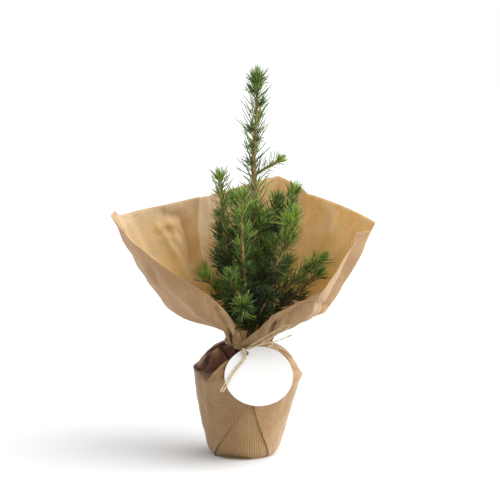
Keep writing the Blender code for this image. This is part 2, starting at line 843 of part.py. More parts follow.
def sleeve(name, foot, top, look):
    """A thin tube round the trunk, clear of its bark, that carries the leader's needles."""
    corner = 1 / math.cos(math.pi / SLEEVE_SIDES)
    outer, inner = [], []
    for height in [foot] + [bend for across, bend in TRUNK_LINE if foot < bend < top] + [top]:
        middle = trunk_point(height * MM)
        bore = sleeve_flat(height * MM) * corner
        turns = [2 * math.pi * (side + 0.5) / SLEEVE_SIDES for side in range(SLEEVE_SIDES)]
        arms = [Vector((math.cos(turn), math.sin(turn), 0)) for turn in turns]
        inner.append([middle + arm * bore for arm in arms])
        outer.append([middle + arm * (bore + SLEEVE_WALL * corner) for arm in arms])
    return make_object(name, *hollow(outer, inner), look)


def grow_sleeve(mass, foot, top, stem):
    """Needles and short tufts on the flats of a sleeve."""
    up = (trunk_point(top * MM) - trunk_point(foot * MM)).normalized()
    for height, angle in TUFTS:
        if foot < height < top:
            place, flat = sleeve_place(height * MM, round(angle / 360 * SLEEVE_SIDES))
            mass.twig(place, flat, up, TUFT_LENGTH)
    count = int((top - foot) * MM / NEEDLE_SPACING * 1.5)
    for number in range(count):
        height = lerp(foot, top, (number + 0.5) / count) * MM
        place, flat = sleeve_place(height, number * SLEEVE_STRIDE)
        pitch = math.radians(mass.chance.uniform(42, 62))
        radial = Matrix.Rotation(mass.chance.uniform(-NEEDLE_TURN, NEEDLE_TURN) / 2, 3, up) @ flat
        direction = (up * math.cos(pitch) + radial * math.sin(pitch)).normalized()
        mass.needle(place, flat, direction, NEEDLE_LENGTH * mass.chance.uniform(0.85, 1.2))
    union(stem, mass.pieces)


def surface_spots(item, steps=5):
    """Points spread over each four-sided face of a skin."""
    points = [vertex.co for vertex in item.data.vertices]
    spots = []
    for face in item.data.polygons:
        first, second, third, last = [points[corner] for corner in list(face.vertices)[:4]]
        for row in range(steps):
            low, high = first.lerp(last, row / (steps - 1)), second.lerp(third, row / (steps - 1))
            spots += [tuple(low.lerp(high, step / (steps - 1))) for step in range(steps)]
    return spots


def make_plant(collar, bark, green):
    crown = Crown(surface_spots(collar))
    trunk_path = [trunk_point(height * MM) for height in range(66, 324, 3)]
    for low, high in zip(trunk_path, trunk_path[1:]):
        crown.add("trunk", low, high, trunk_radius(low.z))
    chance = random.Random(SEED)
    stems = []
    for name, height, tip, spread, bare in BOUGHS:
        path, outward = limb(height, tip, spread)
        split = round(bare * (len(path) - 1))
        bough = thin(path[: split + 1], BOUGH_RINGS)
        radii = [lerp(BOUGH_ROOT, BOUGH_TIP, step / (BOUGH_RINGS - 1)) for step in range(BOUGH_RINGS)]
        smooth_shade(make_object("bough_" + name, *tube(bough, radii, BOUGH_SIDES, seat=outward), bark))
        crown.add_path("bough_" + name, bough, BOUGH_ROOT)
        path = thin(shorten(path[split:], CLEAR), STEM_RINGS)
        # The stem starts as thin as its bough and swells into the foliage
        path = [path[0], shorten(path, STEM_NECK)[0]] + path[1:]
        radii = [BOUGH_TIP] + [STEM_RADIUS] * STEM_RINGS
        stem = make_object("foliage_" + name, *tube(path, radii, 4), green)
        crown.add_path("foliage_" + name, path, STEM_RADIUS)
        stems.append((stem, path, radii))
    tip = trunk_point(TRUNK_LINE[-1][1] * MM) + Vector((0, 0, CLEAR))
    path, radii = [tip, tip + Vector((0, 0, LEADER_BUD))], [STEM_RADIUS, STEM_RADIUS]
    stems.append((make_object("foliage_leader_tip", *tube(path, radii, 4), green), path, radii))
    for stem, path, radii in stems:
        Mass(stem.name, crown, path_points(path), chance).grow(path, radii, stem)
    for name, foot, top in SLEEVES:
        stem = sleeve("foliage_" + name, foot, top, green)
        axis = [trunk_point(height * MM) for height in range(foot, top + 1)]
        grow_sleeve(Mass(stem.name, crown, axis, chance), foot, top, stem)


def main():
    clear_scene()
    brown = make_material("brown paper", (0.47, 0.31, 0.19), 0.72)
    card = make_material("white card", (0.86, 0.86, 0.85), 0.6)
    straw = make_material("straw twine", (0.62, 0.54, 0.38), 0.8)
    bark = make_material("bark", (0.33, 0.19, 0.11), 0.85)
    green = make_material("needles", (0.07, 0.17, 0.05), 0.55)
    plastic = make_material("pot plastic", (0.05, 0.04, 0.04), 0.5)
    earth = make_material("soil", (0.06, 0.04, 0.03), 0.95)
    make_pot(plastic)
    make_soil(earth)
    wrap = make_wrap(brown)
    collar = make_collar(brown)
    centre = tag_centre(wrap)
    make_tag(centre, card)
    make_twine(centre, straw)
    make_trunk(bark)
    make_plant(collar, bark, green)


main()
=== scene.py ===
"""Looks of a small potted Alberta spruce, its pot wrapped in ribbed brown paper tied with straw twine.

Lengths are in metres. Values with "mm" in their comment are in millimetres and are scaled by MM.
"""

import math
import random

import bpy
import numpy as np
from mathutils import Matrix, Vector, noise


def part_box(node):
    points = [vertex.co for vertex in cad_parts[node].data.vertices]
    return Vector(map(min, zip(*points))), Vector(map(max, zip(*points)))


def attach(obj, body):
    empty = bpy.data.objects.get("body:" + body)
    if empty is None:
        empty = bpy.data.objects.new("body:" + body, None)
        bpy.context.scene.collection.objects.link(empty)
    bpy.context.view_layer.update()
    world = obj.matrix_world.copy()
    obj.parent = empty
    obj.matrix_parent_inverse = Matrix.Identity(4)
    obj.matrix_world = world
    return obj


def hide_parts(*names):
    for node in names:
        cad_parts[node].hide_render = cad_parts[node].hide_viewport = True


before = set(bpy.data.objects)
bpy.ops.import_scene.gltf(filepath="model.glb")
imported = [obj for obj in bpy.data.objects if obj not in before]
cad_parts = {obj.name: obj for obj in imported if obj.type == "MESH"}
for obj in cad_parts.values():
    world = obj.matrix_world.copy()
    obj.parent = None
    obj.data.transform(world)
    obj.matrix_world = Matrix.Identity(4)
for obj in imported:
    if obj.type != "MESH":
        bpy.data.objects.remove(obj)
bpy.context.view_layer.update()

MM = 0.001
GOLDEN_TURN = math.radians(137.5)
SEED = 7

# Camera: it looks 8 degrees down on the plant
CAMERA_TILT = math.radians(8.0)
CAMERA_DISTANCE = 1.6
CAMERA_TARGET = Vector((0.0059, 0.0, 0.177))
CAMERA_PLACE = CAMERA_TARGET + CAMERA_DISTANCE * Vector((0, -math.cos(CAMERA_TILT), math.sin(CAMERA_TILT)))
# One pixel of the photograph at the target, the photograph's width in pixels and the sensor's in mm
PIXEL_SIZE = 0.000855
PHOTO_WIDTH = 500
SENSOR = 36.0

# The pot and its wrap lean a little to the right
LEAN = math.radians(3.0)
SLOPE = math.tan(LEAN)

# Wrap below the tie: outer (radius, height) in mm, as in the solids, for its wall and then its shoulder
WRAP_PROFILE = (
    (27.0, 0.0), (31.4, 7.0), (34.5, 20.0), (37.6, 33.0), (40.6, 46.0), (43.3, 59.5), (45.6, 73.0),
    (43.6, 79.0), (40.0, 84.0), (34.8, 89.0), (27.5, 93.2), (21.6, 95.2), (19.2, 97.6),
)
WALL_STOPS = 7
SHOULDER_HEIGHT = WRAP_PROFILE[WALL_STOPS - 1][1] * MM
NECK_RADIUS, TIE_HEIGHT = (size * MM for size in WRAP_PROFILE[-1])
NECK_CENTRE_X = SLOPE * TIE_HEIGHT
TIE_DIP_FRONT = 3.4 * MM
# Overlap edges on the pot's front: height in mm, left and right angle
PANEL_EDGES = (
    (0.0, 207, 321), (7.0, 221, 312), (20.0, 240, 298),
    (33.0, 254, 288), (46.0, 267, 280), (59.5, 273, 276),
)
# The straight fold in front of the underside: its distance from the axis, the angle that it faces and the
# height up to which it flattens the wall
FOOT_FOLD = 20.5 * MM
FOOT_FOLD_ANGLE = 251
FOOT_HEIGHT = 7 * MM
# The lowest place of the wrap's outer side
GROUND_GAP = 0.15 * MM
# The pot inside the wrap: outer (radius, height) in mm, and the wrap's distance from it
POT_PROFILE = ((22.9, 2.9), (26.3, 9.4), (38.6, 59.4), (40.3, 60.2), (43.2, 72.0))
POT_GAP = 1.2 * MM

# Collar: free edge as (angle, radius, height in mm), from the lobe in front of the tie on round the back
# and on to the end that is rolled in behind it
COLLAR_EDGE = (
    (241, 20.2, 97.6), (249, 22.0, 99.6), (257, 24.5, 102.5), (266, 27.0, 105.5), (275, 29.0, 109.5),
    (285, 31.5, 113.5), (298, 42, 127), (312, 61, 138), (322, 78, 150), (338, 88, 178),
    (350, 93, 194), (357, 105, 195), (362, 109, 200), (382, 88, 211), (406, 77, 219),
    (433, 90, 232), (458, 73, 223), (485, 67, 217), (515, 81, 212), (536, 111, 206),
    (539, 114, 211), (541, 118, 207), (545, 112, 199), (550, 108, 194), (565, 92, 177),
    (582, 78, 161), (595, 58, 145), (604, 44, 130), (609, 33, 117), (613, 26, 106),
)
# How the sheet rises: share of its way out, and share of its height there at the back and at the front
COLLAR_RISE = (
    (0.0, 0.0, 0.0), (0.012, 0.05, 0.06), (0.05, 0.11, 0.13), (0.17, 0.165, 0.20), (0.49, 0.25, 0.355),
    (0.60, 0.36, 0.43), (0.73, 0.53, 0.55), (0.87, 0.76, 0.76), (1.0, 1.0, 1.0),
)
# Creases of the collar, as lines of places where they show in the photograph, in its 500 by 500 pixels:
# width in pixels, depth in mm (outwards is positive) and side, the back (1) or the front (-1)
COLLAR_FOLDS = (
    (((157, 228), (163, 233), (168, 243), (175, 255)), 4.5, -1.3, 1),
    (((161, 222), (168, 228), (174, 241), (181, 255)), 5.0, 1.2, 1),
    (((166, 214), (180, 216), (186, 236), (190, 262)), 10.0, 3.0, 1),
    (((197, 196), (195, 230), (198, 262)), 14.0, -6.5, 1),
    (((133, 216), (142, 238), (156, 258)), 8.0, 1.2, 1),
    (((157, 229), (165, 224), (176, 224)), 4.0, -1.5, 1),
    (((159, 234), (168, 231), (178, 233)), 4.0, 1.2, 1),
    (((163, 241), (172, 238), (181, 243)), 4.0, -1.0, 1),
    (((326, 206), (334, 216), (330, 232)), 8.0, -1.4, 1),
    (((290, 184), (286, 215), (280, 250)), 12.0, 2.0, 1),
    (((312, 196), (302, 225), (290, 255)), 14.0, -2.4, 1),
    (((349, 212), (336, 236), (318, 262)), 9.0, 2.0, 1),
    (((362, 219), (350, 236), (338, 254)), 6.0, -1.2, 1),
    (((206, 299), (209, 308), (211, 319)), 4.0, -1.1, -1),
    (((216, 308), (224, 322), (233, 341)), 3.5, -1.9, -1),
    (((219, 306), (227, 321), (235, 336)), 4.0, 2.0, -1),
    (((160, 282), (182, 300), (204, 312)), 9.0, 1.8, -1),
    (((150, 268), (168, 294), (190, 312)), 6.0, -1.2, -1),
    (((327, 305), (312, 302), (296, 306)), 4.5, -2.0, -1),
    (((322, 311), (304, 312), (288, 319)), 5.0, 1.6, -1),
    (((298, 309), (284, 316), (272, 327)), 4.0, -1.8, -1),
    (((275, 322), (271, 331)), 2.6, -3.4, -1),
    (((270, 319), (265, 332)), 2.6, 2.6, -1),
    (((284, 316), (279, 328)), 2.4, 1.6, -1),
    (((290, 314), (287, 323)), 2.4, -1.3, -1),
    (((262, 324), (257, 336)), 2.2, -1.0, -1),
    (((237, 329), (235, 338), (236, 347)), 2.6, -3.4, -1),
    (((229, 331), (233, 345)), 2.2, -2.4, -1),
    (((352, 240), (338, 268), (322, 292), (304, 304)), 6.0, 1.2, -1),
)
# Golden patches painted on the collar's inner side along creases and near its right rim, painted glow and
# shade, as lines in the photograph and their width in its pixels
COLLAR_GLOW_AND_SHADE_LINES = (
    (((156, 229), (164, 223), (178, 224)), 10),
    (((160, 234), (172, 246), (180, 262)), 12),
    (((184, 236), (190, 250), (194, 270)), 13),
    (((330, 200), (350, 212), (366, 218)), 14),
    (((312, 196), (318, 214)), 9),
)
# Creases of the wrap in the same way as those of the collar; side 0 is whatever faces the viewer
WRAP_FOLDS = (
    (((194, 366), (199, 368), (203, 367), (207, 361), (210, 355)), 3.6, -8.0, 0),
    (((198, 362), (201, 357), (205, 353)), 3.0, 2.2, 0),
    (((219, 350), (213, 357), (207, 364), (203, 370)), 3.4, 4.0, 0),
    (((230, 353), (221, 358), (212, 366), (206, 373)), 7.0, -12.0, 0),
    (((236, 358), (226, 364), (219, 370), (211, 379)), 3.0, 3.2, 0),
    (((231, 363), (226, 371), (222, 380)), 3.0, -4.0, 0),
    (((238, 350), (230, 352), (220, 347)), 3.2, -7.0, 0),
    (((229, 341), (216, 347), (206, 352)), 2.6, -5.0, 0),
    (((199, 371), (201, 390), (206, 425)), 4.0, -0.9, 0),
    (((213, 380), (211, 400), (214, 420)), 6.0, -0.7, 0),
    (((290, 363), (295, 367), (301, 371)), 2.8, -4.6, 0),
    (((278, 345), (288, 353), (296, 361)), 3.0, 2.0, 0),
    (((280, 349), (287, 358), (292, 370)), 3.0, -1.8, 0),
    (((293, 376), (289, 392), (284, 410)), 5.0, -0.7, 0),
)
# Folds that run from the tie out over the hidden side of the shoulder: angle at the tie, angle at the rim,
# width in degrees and depth in mm, where a negative depth is a valley
SHOULDER_FOLDS = (
    (15, 12, 9, -3.4), (27, 25, 7, 1.8), (38, 40, 9, -3.0), (52, 50, 8, 2.4), (66, 62, 9, -3.8),
    (84, 86, 9, 2.2), (103, 100, 9, -3.2), (118, 122, 8, 2.2), (134, 138, 9, -3.6), (150, 152, 8, 2.0),
    (164, 166, 8, -2.6),
)
# Folds whose paper gets painted shade, a darker brown: on the collar those that go this far away from the
# viewer, on the wrap this far inwards; and how far outwards the wrap's ridges go whose painted shade is
# lessened, all in mm
COLLAR_PAINTED_SHADE_FOLD = 2.1
WRAP_PAINTED_SHADE_FOLD = -4.8
WRAP_PAINTED_LIGHT_RIDGE = 2
# Where the wrap swells or is pressed in: side (left is -1), how closely it keeps to that side, depth in mm,
# and the lowest height, the highest one and the soft margin outside them in mm
WRAP_SWELLS = (
    (-1, 8, 1.4, 73, 73, 16),
    (1, 8, 1.4, 73, 73, 16),
    (1, 8, 1.2, 70, 70, 5),
    (-1, 2, -2.6, 78, 92, 4),
    (-1, 3, 1.5, 25, 58, 12),
    (1, 4, -1.5, 76, 84, 4),
)

SHEET = 0.35 * MM
RIB_PITCH = 1.9 * MM

# Trunk: centre line as (x, height), the heights of its ends and radius by height, in mm, as in the solids
TRUNK_LINE = (
    (3.3, 58), (5.6, 100), (9.0, 170), (10.7, 230), (9.4, 246), (9.4, 266),
    (10.4, 280), (11.7, 294), (11.8, 323),
)
TRUNK_FOOT, TRUNK_TOP = 60.5, 323.0
TRUNK_TAPER = ((7.2, 58), (5.2, 63), (4.3, 76), (3.9, 100), (2.7, 170), (2.0, 230), (1.4, 290), (0.9, 323))

# Boughs as in the solids: name, root height, tip in mm, spread and bare share; then the tone of the foliage
# from 0, fresh and bright, to 3, deep, the darker tones of boughs deep in the crown being painted shade, and
# the length of its longest side twigs in mm
BOUGHS = (
    ("left_upright", 128, (-20, 0, 243), 0.85, 0.52, 1.0, 8),
    ("front_upright", 118, (-1, -21, 230), 0.88, 0.40, 1.0, 10),
    ("right_back", 163, (45, 15, 230), 0.66, 0.50, 1.1, 9),
    ("back_upper", 174, (30, 19, 222), 0.72, 0.45, 1.1, 11),
    ("right_front", 140, (44, -16, 214), 0.72, 0.38, 0.6, 16),
    ("right_long", 123, (70, 8, 170), 0.52, 0.34, 0.8, 10),
    ("right_low", 112, (67, -9, 160), 0.56, 0.55, 1.4, 0),
    ("left_low", 116, (-34, -14, 160), 0.60, 0.38, 1.1, 8),
    ("front_left", 112, (-12, -31, 161), 0.60, 0.42, 1.5, 11),
    ("front_low", 108, (0, -40, 140), 0.58, 0.48, 1.15, 7),
    ("left_back", 132, (-20, 12, 197), 0.78, 0.38, 2.0, 8),
    ("centre_low", 114, (22, -27, 143), 0.60, 0.42, 3.0, 13),
    ("back_left", 120, (-23, 31, 171), 0.65, 0.38, 2.0, 13),
    ("back_middle", 124, (6, 45, 188), 0.70, 0.38, 1.5, 13),
    ("back_right", 118, (40, 29, 166), 0.60, 0.38, 1.7, 13),
    ("back_top", 158, (-7, 22, 224), 0.74, 0.40, 1.4, 9),
    ("top_right", 242, (33, -4, 256), 0.50, 0.36, 0.8, 0),
)
# Radii of a bough's bare wood at its root and at its foliage, and how much its first rings swell, in mm
BOUGH_RADII = (1.45, 1.1)
BOUGH_ROOT_SWELL = 0.8
# The bough whose needles are short and sparse, also on its own wood
SLIM_BOUGH = "top_right"
# Heart: lowest and highest root of the trunk's own twigs and their spacing, in mm
HEART = (104, 206, 2.8)
# Leader: (foot, top in mm, needles for each mm, tone, size, and the needles' lean at foot and top); its
# darker tones low down are painted shade inside the crown
LEADER_STRETCHES = (
    (100, 150, 2.0, 2.6, 1.0, 62, 56),
    (150, 200, 2.0, 2.2, 1.0, 60, 52),
    (200, 240, 1.8, 1.3, 1.3, 54, 46),
    (240, 266, 1.8, 1.3, 1.45, 54, 46),
    (266, 296, 1.9, 1.2, 1.45, 52, 42),
    (296, 312, 1.8, 1.1, 1.25, 50, 40),
    (306, 319, 3.0, 1.0, 1.0, 52, 36),
)
# Short side tufts of the leader: height in mm, angle and size
LEADER_TUFTS = (
    (276, 195, 1.0), (298, 350, 1.0), (309, 170, 1.1), (256, 100, 0.9), (288, 60, 0.9), (262, 235, 0.9),
    (226, 110, 0.9), (268, 20, 0.8), (248, 190, 0.8),
)
# Tones of the needles, from 0 to 3: partly the needles' own colour, young ones lighter and random
# differences, and partly painted shade, darker for needles deep in the crown
TONES = ("fresh", "middle", "deep", "shade")
TONE_AND_SHADE_COLOURS = ((0.255, 0.375, 0.044), (0.100, 0.178, 0.021), (0.036, 0.071, 0.013), (0.013, 0.027, 0.008))

# Foliage growth: radius and length of a needle, needles for each mm of twig and distance between side twigs
NEEDLE_RADIUS = 0.40 * MM
NEEDLE_LENGTH = 14.0 * MM
NEEDLES_PER_MM = 2.9
TWIG_SPACING = 9.0 * MM
# How far side twigs may reach from their bough, and how near needles and twigs may come to the paper
TWIG_SPACE = 15 * MM
PAPER_GAP = 1.5 * MM
TWIG_GAP = 2.6 * MM


# Small helpers

def photo_place(points):
    """Where points show in the photograph, in its 500 by 500 pixels."""
    away = points - np.array(CAMERA_PLACE)
    depth = away[..., 1] * math.cos(CAMERA_TILT) - away[..., 2] * math.sin(CAMERA_TILT)
    rise = away[..., 1] * math.sin(CAMERA_TILT) + away[..., 2] * math.cos(CAMERA_TILT)
    scale = CAMERA_DISTANCE / PIXEL_SIZE
    middle = PHOTO_WIDTH / 2
    return np.stack([middle + scale * away[..., 0] / depth, middle - scale * rise / depth], axis=-1)


def table(rows):
    """Columns of a table as arrays."""
    return [np.array(column, float) for column in zip(*rows)]


def link(item):
    bpy.context.scene.collection.objects.link(item)
    return item


def make_mesh(name, points, faces, looks, uv=None, smooth=True):
    """A mesh piece from arrays; uv is one pair for each point."""
    mesh = bpy.data.meshes.new(name)
    mesh.from_pydata(np.asarray(points, np.float32).reshape(-1, 3), [], faces)
    for look in looks:
        mesh.materials.append(look)
    if uv is not None:
        corners = np.empty(len(mesh.loops), np.int32)
        mesh.loops.foreach_get("vertex_index", corners)
        places = np.asarray(uv, np.float32).reshape(-1, 2)[corners]
        mesh.uv_layers.new(name="ribs").data.foreach_set("uv", places.ravel())
    mesh.polygons.foreach_set("use_smooth", np.full(len(mesh.polygons), smooth))
    mesh.update()
    return link(bpy.data.objects.new(name, mesh))


def grid_faces(rows, columns, closed=False):
    """Quads of a grid of points, its columns joined round if closed."""
    faces = []
    for row in range(rows - 1):
        for column in range(columns if closed else columns - 1):
            after = (column + 1) % columns
            low, high = row * columns, (row + 1) * columns
            faces.append((low + column, low + after, high + after, high + column))
    return faces


def smooth_curve(stops, count):
    """Points evenly spread over a smooth curve through the stops, by Catmull and Rom's rule."""
    stops = np.asarray(stops, float)
    padded = np.vstack([2 * stops[0] - stops[1], stops, 2 * stops[-1] - stops[-2]])
    where = np.linspace(0, len(stops) - 1, count)
    index = np.minimum(where.astype(int), len(stops) - 2)
    share = (where - index)[:, None]
    before, low, high, after = (padded[index + step] for step in range(4))
    path = 2 * low + (high - before) * share
    path += (2 * before - 5 * low + 4 * high - after) * share**2
    path += (3 * low - before - 3 * high + after) * share**3
    return path / 2


def walked_along(points):
    """How far along its path, or up its column of a grid, each point lies."""
    steps = np.linalg.norm(np.diff(points, axis=0), axis=-1)
    return np.concatenate([np.zeros_like(steps[:1]), steps]).cumsum(axis=0)


def unit(direction):
    return direction / np.linalg.norm(direction, axis=-1, keepdims=True)


def turned(first, second, angle):
    """The direction at an angle from the first of two square directions towards the second."""
    angle = np.asarray(angle)[..., None]
    return first * np.cos(angle) + second * np.sin(angle)


def frames(path):
    """Tangents and two normals along a path of points, turned as little as possible."""
    tangents = unit(np.gradient(np.asarray(path, float), axis=0))
    normal = np.cross(tangents[0], (0.31, 0.95, 0.05))
    normals = []
    for tangent in tangents:
        normal = unit(normal - tangent * normal.dot(tangent))
        normals.append(normal)
    normals = np.array(normals)
    return tangents, normals, np.cross(tangents, normals)


class Batch:
    """Points and faces of many small things that become one mesh."""

    def __init__(self):
        self.points, self.faces, self.count = [], [], 0

    def add_tube(self, path, radii, sides, relief=1.0):
        """Closed rings of points round a path; relief is a factor, or one for each ring and side."""
        normals, others = frames(path)[1:]
        arms = turned(normals[:, None], others[:, None], 2 * math.pi * np.arange(sides) / sides)
        reach = np.asarray(radii, float).reshape(-1, 1) * relief * np.ones((1, sides))
        rings = np.asarray(path)[:, None] + arms * reach[..., None]
        total = len(rings) * sides
        faces = grid_faces(len(rings), sides, closed=True)
        faces += [tuple(range(total - sides, total)), tuple(reversed(range(sides)))]
        self.points.append(rings.reshape(-1, 3))
        self.faces += [tuple(corner + self.count for corner in face) for face in faces]
        self.count += total

    def add_bud(self, middle, along, length, radius):
        """A small pointed oval."""
        steps = np.array((-0.5, -0.28, 0.0, 0.3, 0.5))
        path = np.asarray(middle) + np.asarray(along) * (steps[:, None] * length)
        self.add_tube(path, radius * np.array((0.35, 0.85, 1.0, 0.6, 0.08)), 6)

    def make(self, name, look):
        return make_mesh(name, np.concatenate(self.points), self.faces, [look])


# Materials

def feed(socket, value):
    """Links a shader's socket to another one, or sets its value."""
    if isinstance(value, bpy.types.NodeSocket):
        socket.id_data.links.new(value, socket)
    else:
        socket.default_value = (*value, 1.0) if socket.type == "RGBA" else value


def node(tree, kind, **values):
    """A new shader node; values are its properties, and its inputs by name with spaces as underscores."""
    made = tree.nodes.new(kind)
    for key, value in values.items():
        if hasattr(made, key):
            setattr(made, key, value)
        else:
            feed(made.inputs[key.replace("_", " ")], value)
    return made


def new_material(name, colour, roughness, **values):
    """A material, its tree and its shader; values are the shader's other inputs."""
    made = bpy.data.materials.new(name)
    made.use_nodes = True
    shader = made.node_tree.nodes["Principled BSDF"]
    for key, value in (("Base Color", colour), ("Roughness", roughness), *values.items()):
        feed(shader.inputs[key.replace("_", " ")], value)
    return made, made.node_tree, shader


def noise_node(tree, scale, detail, rough=0.55, stretch=None):
    """Noise in object coordinates, in marks per metre, drawn out along an axis whose stretch is below 1."""
    place = node(tree, "ShaderNodeTexCoord").outputs["Object"]
    if stretch:
        place = node(tree, "ShaderNodeMapping", Vector=place, Scale=stretch).outputs["Vector"]
    made = node(tree, "ShaderNodeTexNoise", Vector=place, Scale=scale, Detail=detail, Roughness=rough)
    return made.outputs["Fac"]


def ramp(tree, source, stops):
    """A colour ramp with (place, colour) stops."""
    made = node(tree, "ShaderNodeValToRGB", Fac=source)
    while len(made.color_ramp.elements) < len(stops):
        made.color_ramp.elements.new(0.5)
    for element, (place, colour) in zip(made.color_ramp.elements, stops):
        element.position = place
        element.color = (*colour, 1.0)
    return made.outputs["Color"]


def mix(tree, factor, first, second, blend="MIX"):
    """A colour mix; each of the three inputs is a socket or a value."""
    made = node(tree, "ShaderNodeMix", data_type="RGBA", blend_type=blend)
    for place, value in ((0, factor), (6, first), (7, second)):
        feed(made.inputs[place], value)
    return made.outputs[2]


def maths(tree, operation, *values, clamp=False):
    made = node(tree, "ShaderNodeMath", operation=operation, use_clamp=clamp)
    for socket, value in zip(made.inputs, values):
        feed(socket, value)
    return made.outputs[0]


def bump(tree, shader, height, distance, strength):
    """Relief on top of the relief that the shader has so far."""
    made = node(tree, "ShaderNodeBump", Strength=strength, Distance=distance, Height=height)
    normal = shader.inputs["Normal"]
    if normal.is_linked:
        feed(made.inputs["Normal"], normal.links[0].from_socket)
    feed(normal, made.outputs["Normal"])


# Bark colours: dark, middle and light
TRUNK_BARK = (0.15, 0.07, 0.032), (0.33, 0.18, 0.085), (0.52, 0.33, 0.18)
BOUGH_BARK = (0.10, 0.05, 0.028), (0.24, 0.13, 0.07), (0.38, 0.22, 0.12)
SHOOT_BARK = (0.16, 0.075, 0.032), (0.34, 0.175, 0.075), (0.48, 0.28, 0.13)
BUD_SCALES = (0.16, 0.06, 0.02), (0.34, 0.15, 0.05), (0.5, 0.26, 0.1)
# Paper colours: the sheet's own, its dark blotches and its light ones
KRAFT = (0.295, 0.172, 0.070), (0.235, 0.130, 0.048), (0.350, 0.217, 0.098)
GOLDEN = (0.385, 0.280, 0.175), (0.325, 0.220, 0.118), (0.445, 0.340, 0.228)
# Painted shade of the deep folds, multiplied into the paper's colour
PAINTED_FOLD_SHADE = (0.27, 0.125, 0.035)
# Painted golden glow and shade, standing in for light through the thin sheet and for shade low in the collar
# and in its creases, light and dark
COLLAR_GLOW_AND_SHADE_COLOURS = (0.60, 0.385, 0.125), (0.44, 0.240, 0.052)
NECK_GLOW_AND_SHADE_COLOURS = (0.42, 0.230, 0.075), (0.33, 0.155, 0.035)
RIB_SHADE = 0.34
RIB_RELIEF = 0.4 * MM


def paper_material(name, colours, glow, sheen, gloss, ribbing=1.0, painted_glow_and_shade=None, glow_and_shade_colours=None):
    """Ribbed brown paper: fine lines along the ribs, mottled fibres and soft wrinkles.

    glow is the share of the light that passes through the sheet and turns golden; the named mark and its two
    colours paint a golden glow and shade into the paper's colour.
    """
    colour, dark, light = colours
    made, tree, shader = new_material(
        name,
        colour,
        0.6,
        Specular_IOR_Level=gloss,
        Sheen_Weight=0.32,
        Sheen_Roughness=0.45,
        Sheen_Tint=sheen,
        Subsurface_Weight=glow,
        Subsurface_Radius=(1.0, 0.75, 0.4),
        Subsurface_Scale=0.0022,
    )
    ribs = node(tree, "ShaderNodeUVMap", uv_map="ribs").outputs["UV"]
    across = node(tree, "ShaderNodeSeparateXYZ", Vector=ribs).outputs["X"]
    wave = maths(tree, "SINE", maths(tree, "MULTIPLY", across, 2 * math.pi))
    lines = maths(tree, "MULTIPLY_ADD", wave, 0.5, 0.5)
    broad = noise_node(tree, 28.0, 4.0, 0.6)
    blotched = ramp(tree, broad, ((0.36, dark), (0.51, colour), (0.67, light)))
    fibres = noise_node(tree, 900.0, 2.0, 0.6, (1.0, 1.0, 0.35))
    # Painted glow and shade: a golden brown put into the colour where the mark lies
    if painted_glow_and_shade:
        glow_and_shade_marks = node(tree, "ShaderNodeAttribute", attribute_name=painted_glow_and_shade).outputs["Fac"]
        patches = noise_node(tree, 46.0, 6.0, 0.68)
        uneven = maths(tree, "MULTIPLY_ADD", patches, 3.0, -0.7)
        share = maths(tree, "MULTIPLY", glow_and_shade_marks, uneven, clamp=True)
        glow_and_shade_colour = ramp(tree, patches, tuple(zip((0.42, 0.62), glow_and_shade_colours)))
        blotched = mix(tree, share, blotched, glow_and_shade_colour)
    flecked = mix(tree, 0.3, blotched, ramp(tree, fibres, ((0.35, dark), (0.65, light))))
    lined = mix(tree, maths(tree, "MULTIPLY", lines, RIB_SHADE * ribbing), flecked, dark)
    # Painted shade: deep in its folds the paper is darkened to a richer brown, standing in for the shade that
    # falls there
    folds = node(tree, "ShaderNodeAttribute", attribute_name="painted_fold_shade").outputs["Fac"]
    feed(shader.inputs["Base Color"], mix(tree, folds, lined, PAINTED_FOLD_SHADE, "MULTIPLY"))
    bump(tree, shader, lines, RIB_RELIEF * ribbing, 0.9)
    bump(tree, shader, noise_node(tree, 75.0, 5.0, 0.62), 0.0016, 0.55)
    bump(tree, shader, fibres, 0.0001, 0.5)
    return made


def grained_material(name, colour, roughness, grain, stops, relief, strength):
    """A material whose colour and relief follow the same noise."""
    made, tree, shader = new_material(name, colour, roughness)
    marks = noise_node(tree, *grain)
    feed(shader.inputs["Base Color"], ramp(tree, marks, stops))
    bump(tree, shader, marks, relief, strength)
    return made


def card_material():
    stops = (0.3, (0.60, 0.60, 0.592)), (0.7, (0.64, 0.64, 0.635))
    return grained_material("white card", (0.9, 0.9, 0.895), 0.55, (1400.0, 3.0, 0.6), stops, 0.00005, 0.4)


def twine_material():
    stops = (0.25, (0.24, 0.17, 0.09)), (0.5, (0.46, 0.36, 0.21)), (0.8, (0.66, 0.56, 0.37))
    grain = (700.0, 4.0, 0.65, (0.35, 0.35, 1.0))
    return grained_material("straw twine", (0.60, 0.49, 0.30), 0.62, grain, stops, 0.0002, 0.6)


def bark_material(name, dark, middle, light):
    stops = (0.3, dark), (0.52, middle), (0.78, light)
    grain = (420.0, 5.0, 0.65, (1.0, 1.0, 0.45))
    return grained_material(name, middle, 0.8, grain, stops, 0.0005, 0.8)


def soil_material():
    stops = (0.3, (0.015, 0.01, 0.007)), (0.55, (0.06, 0.038, 0.023)), (0.8, (0.16, 0.11, 0.07))
    return grained_material("compost", (0.05, 0.032, 0.02), 0.95, (350.0, 5.0, 0.7), stops, 0.0012, 0.9)


def needle_material(name, colour):
    made, tree, shader = new_material(name, colour, 0.42)
    feed(shader.inputs["Roughness"], maths(tree, "MULTIPLY_ADD", noise_node(tree, 260.0, 2.0), 0.25, 0.32))
    return made


def plastic_material():
    made, tree, shader = new_material("pot plastic", (0.045, 0.038, 0.034), 0.45)
    bump(tree, shader, noise_node(tree, 1800.0, 2.0), 0.00005, 0.5)
    return made


# Paper

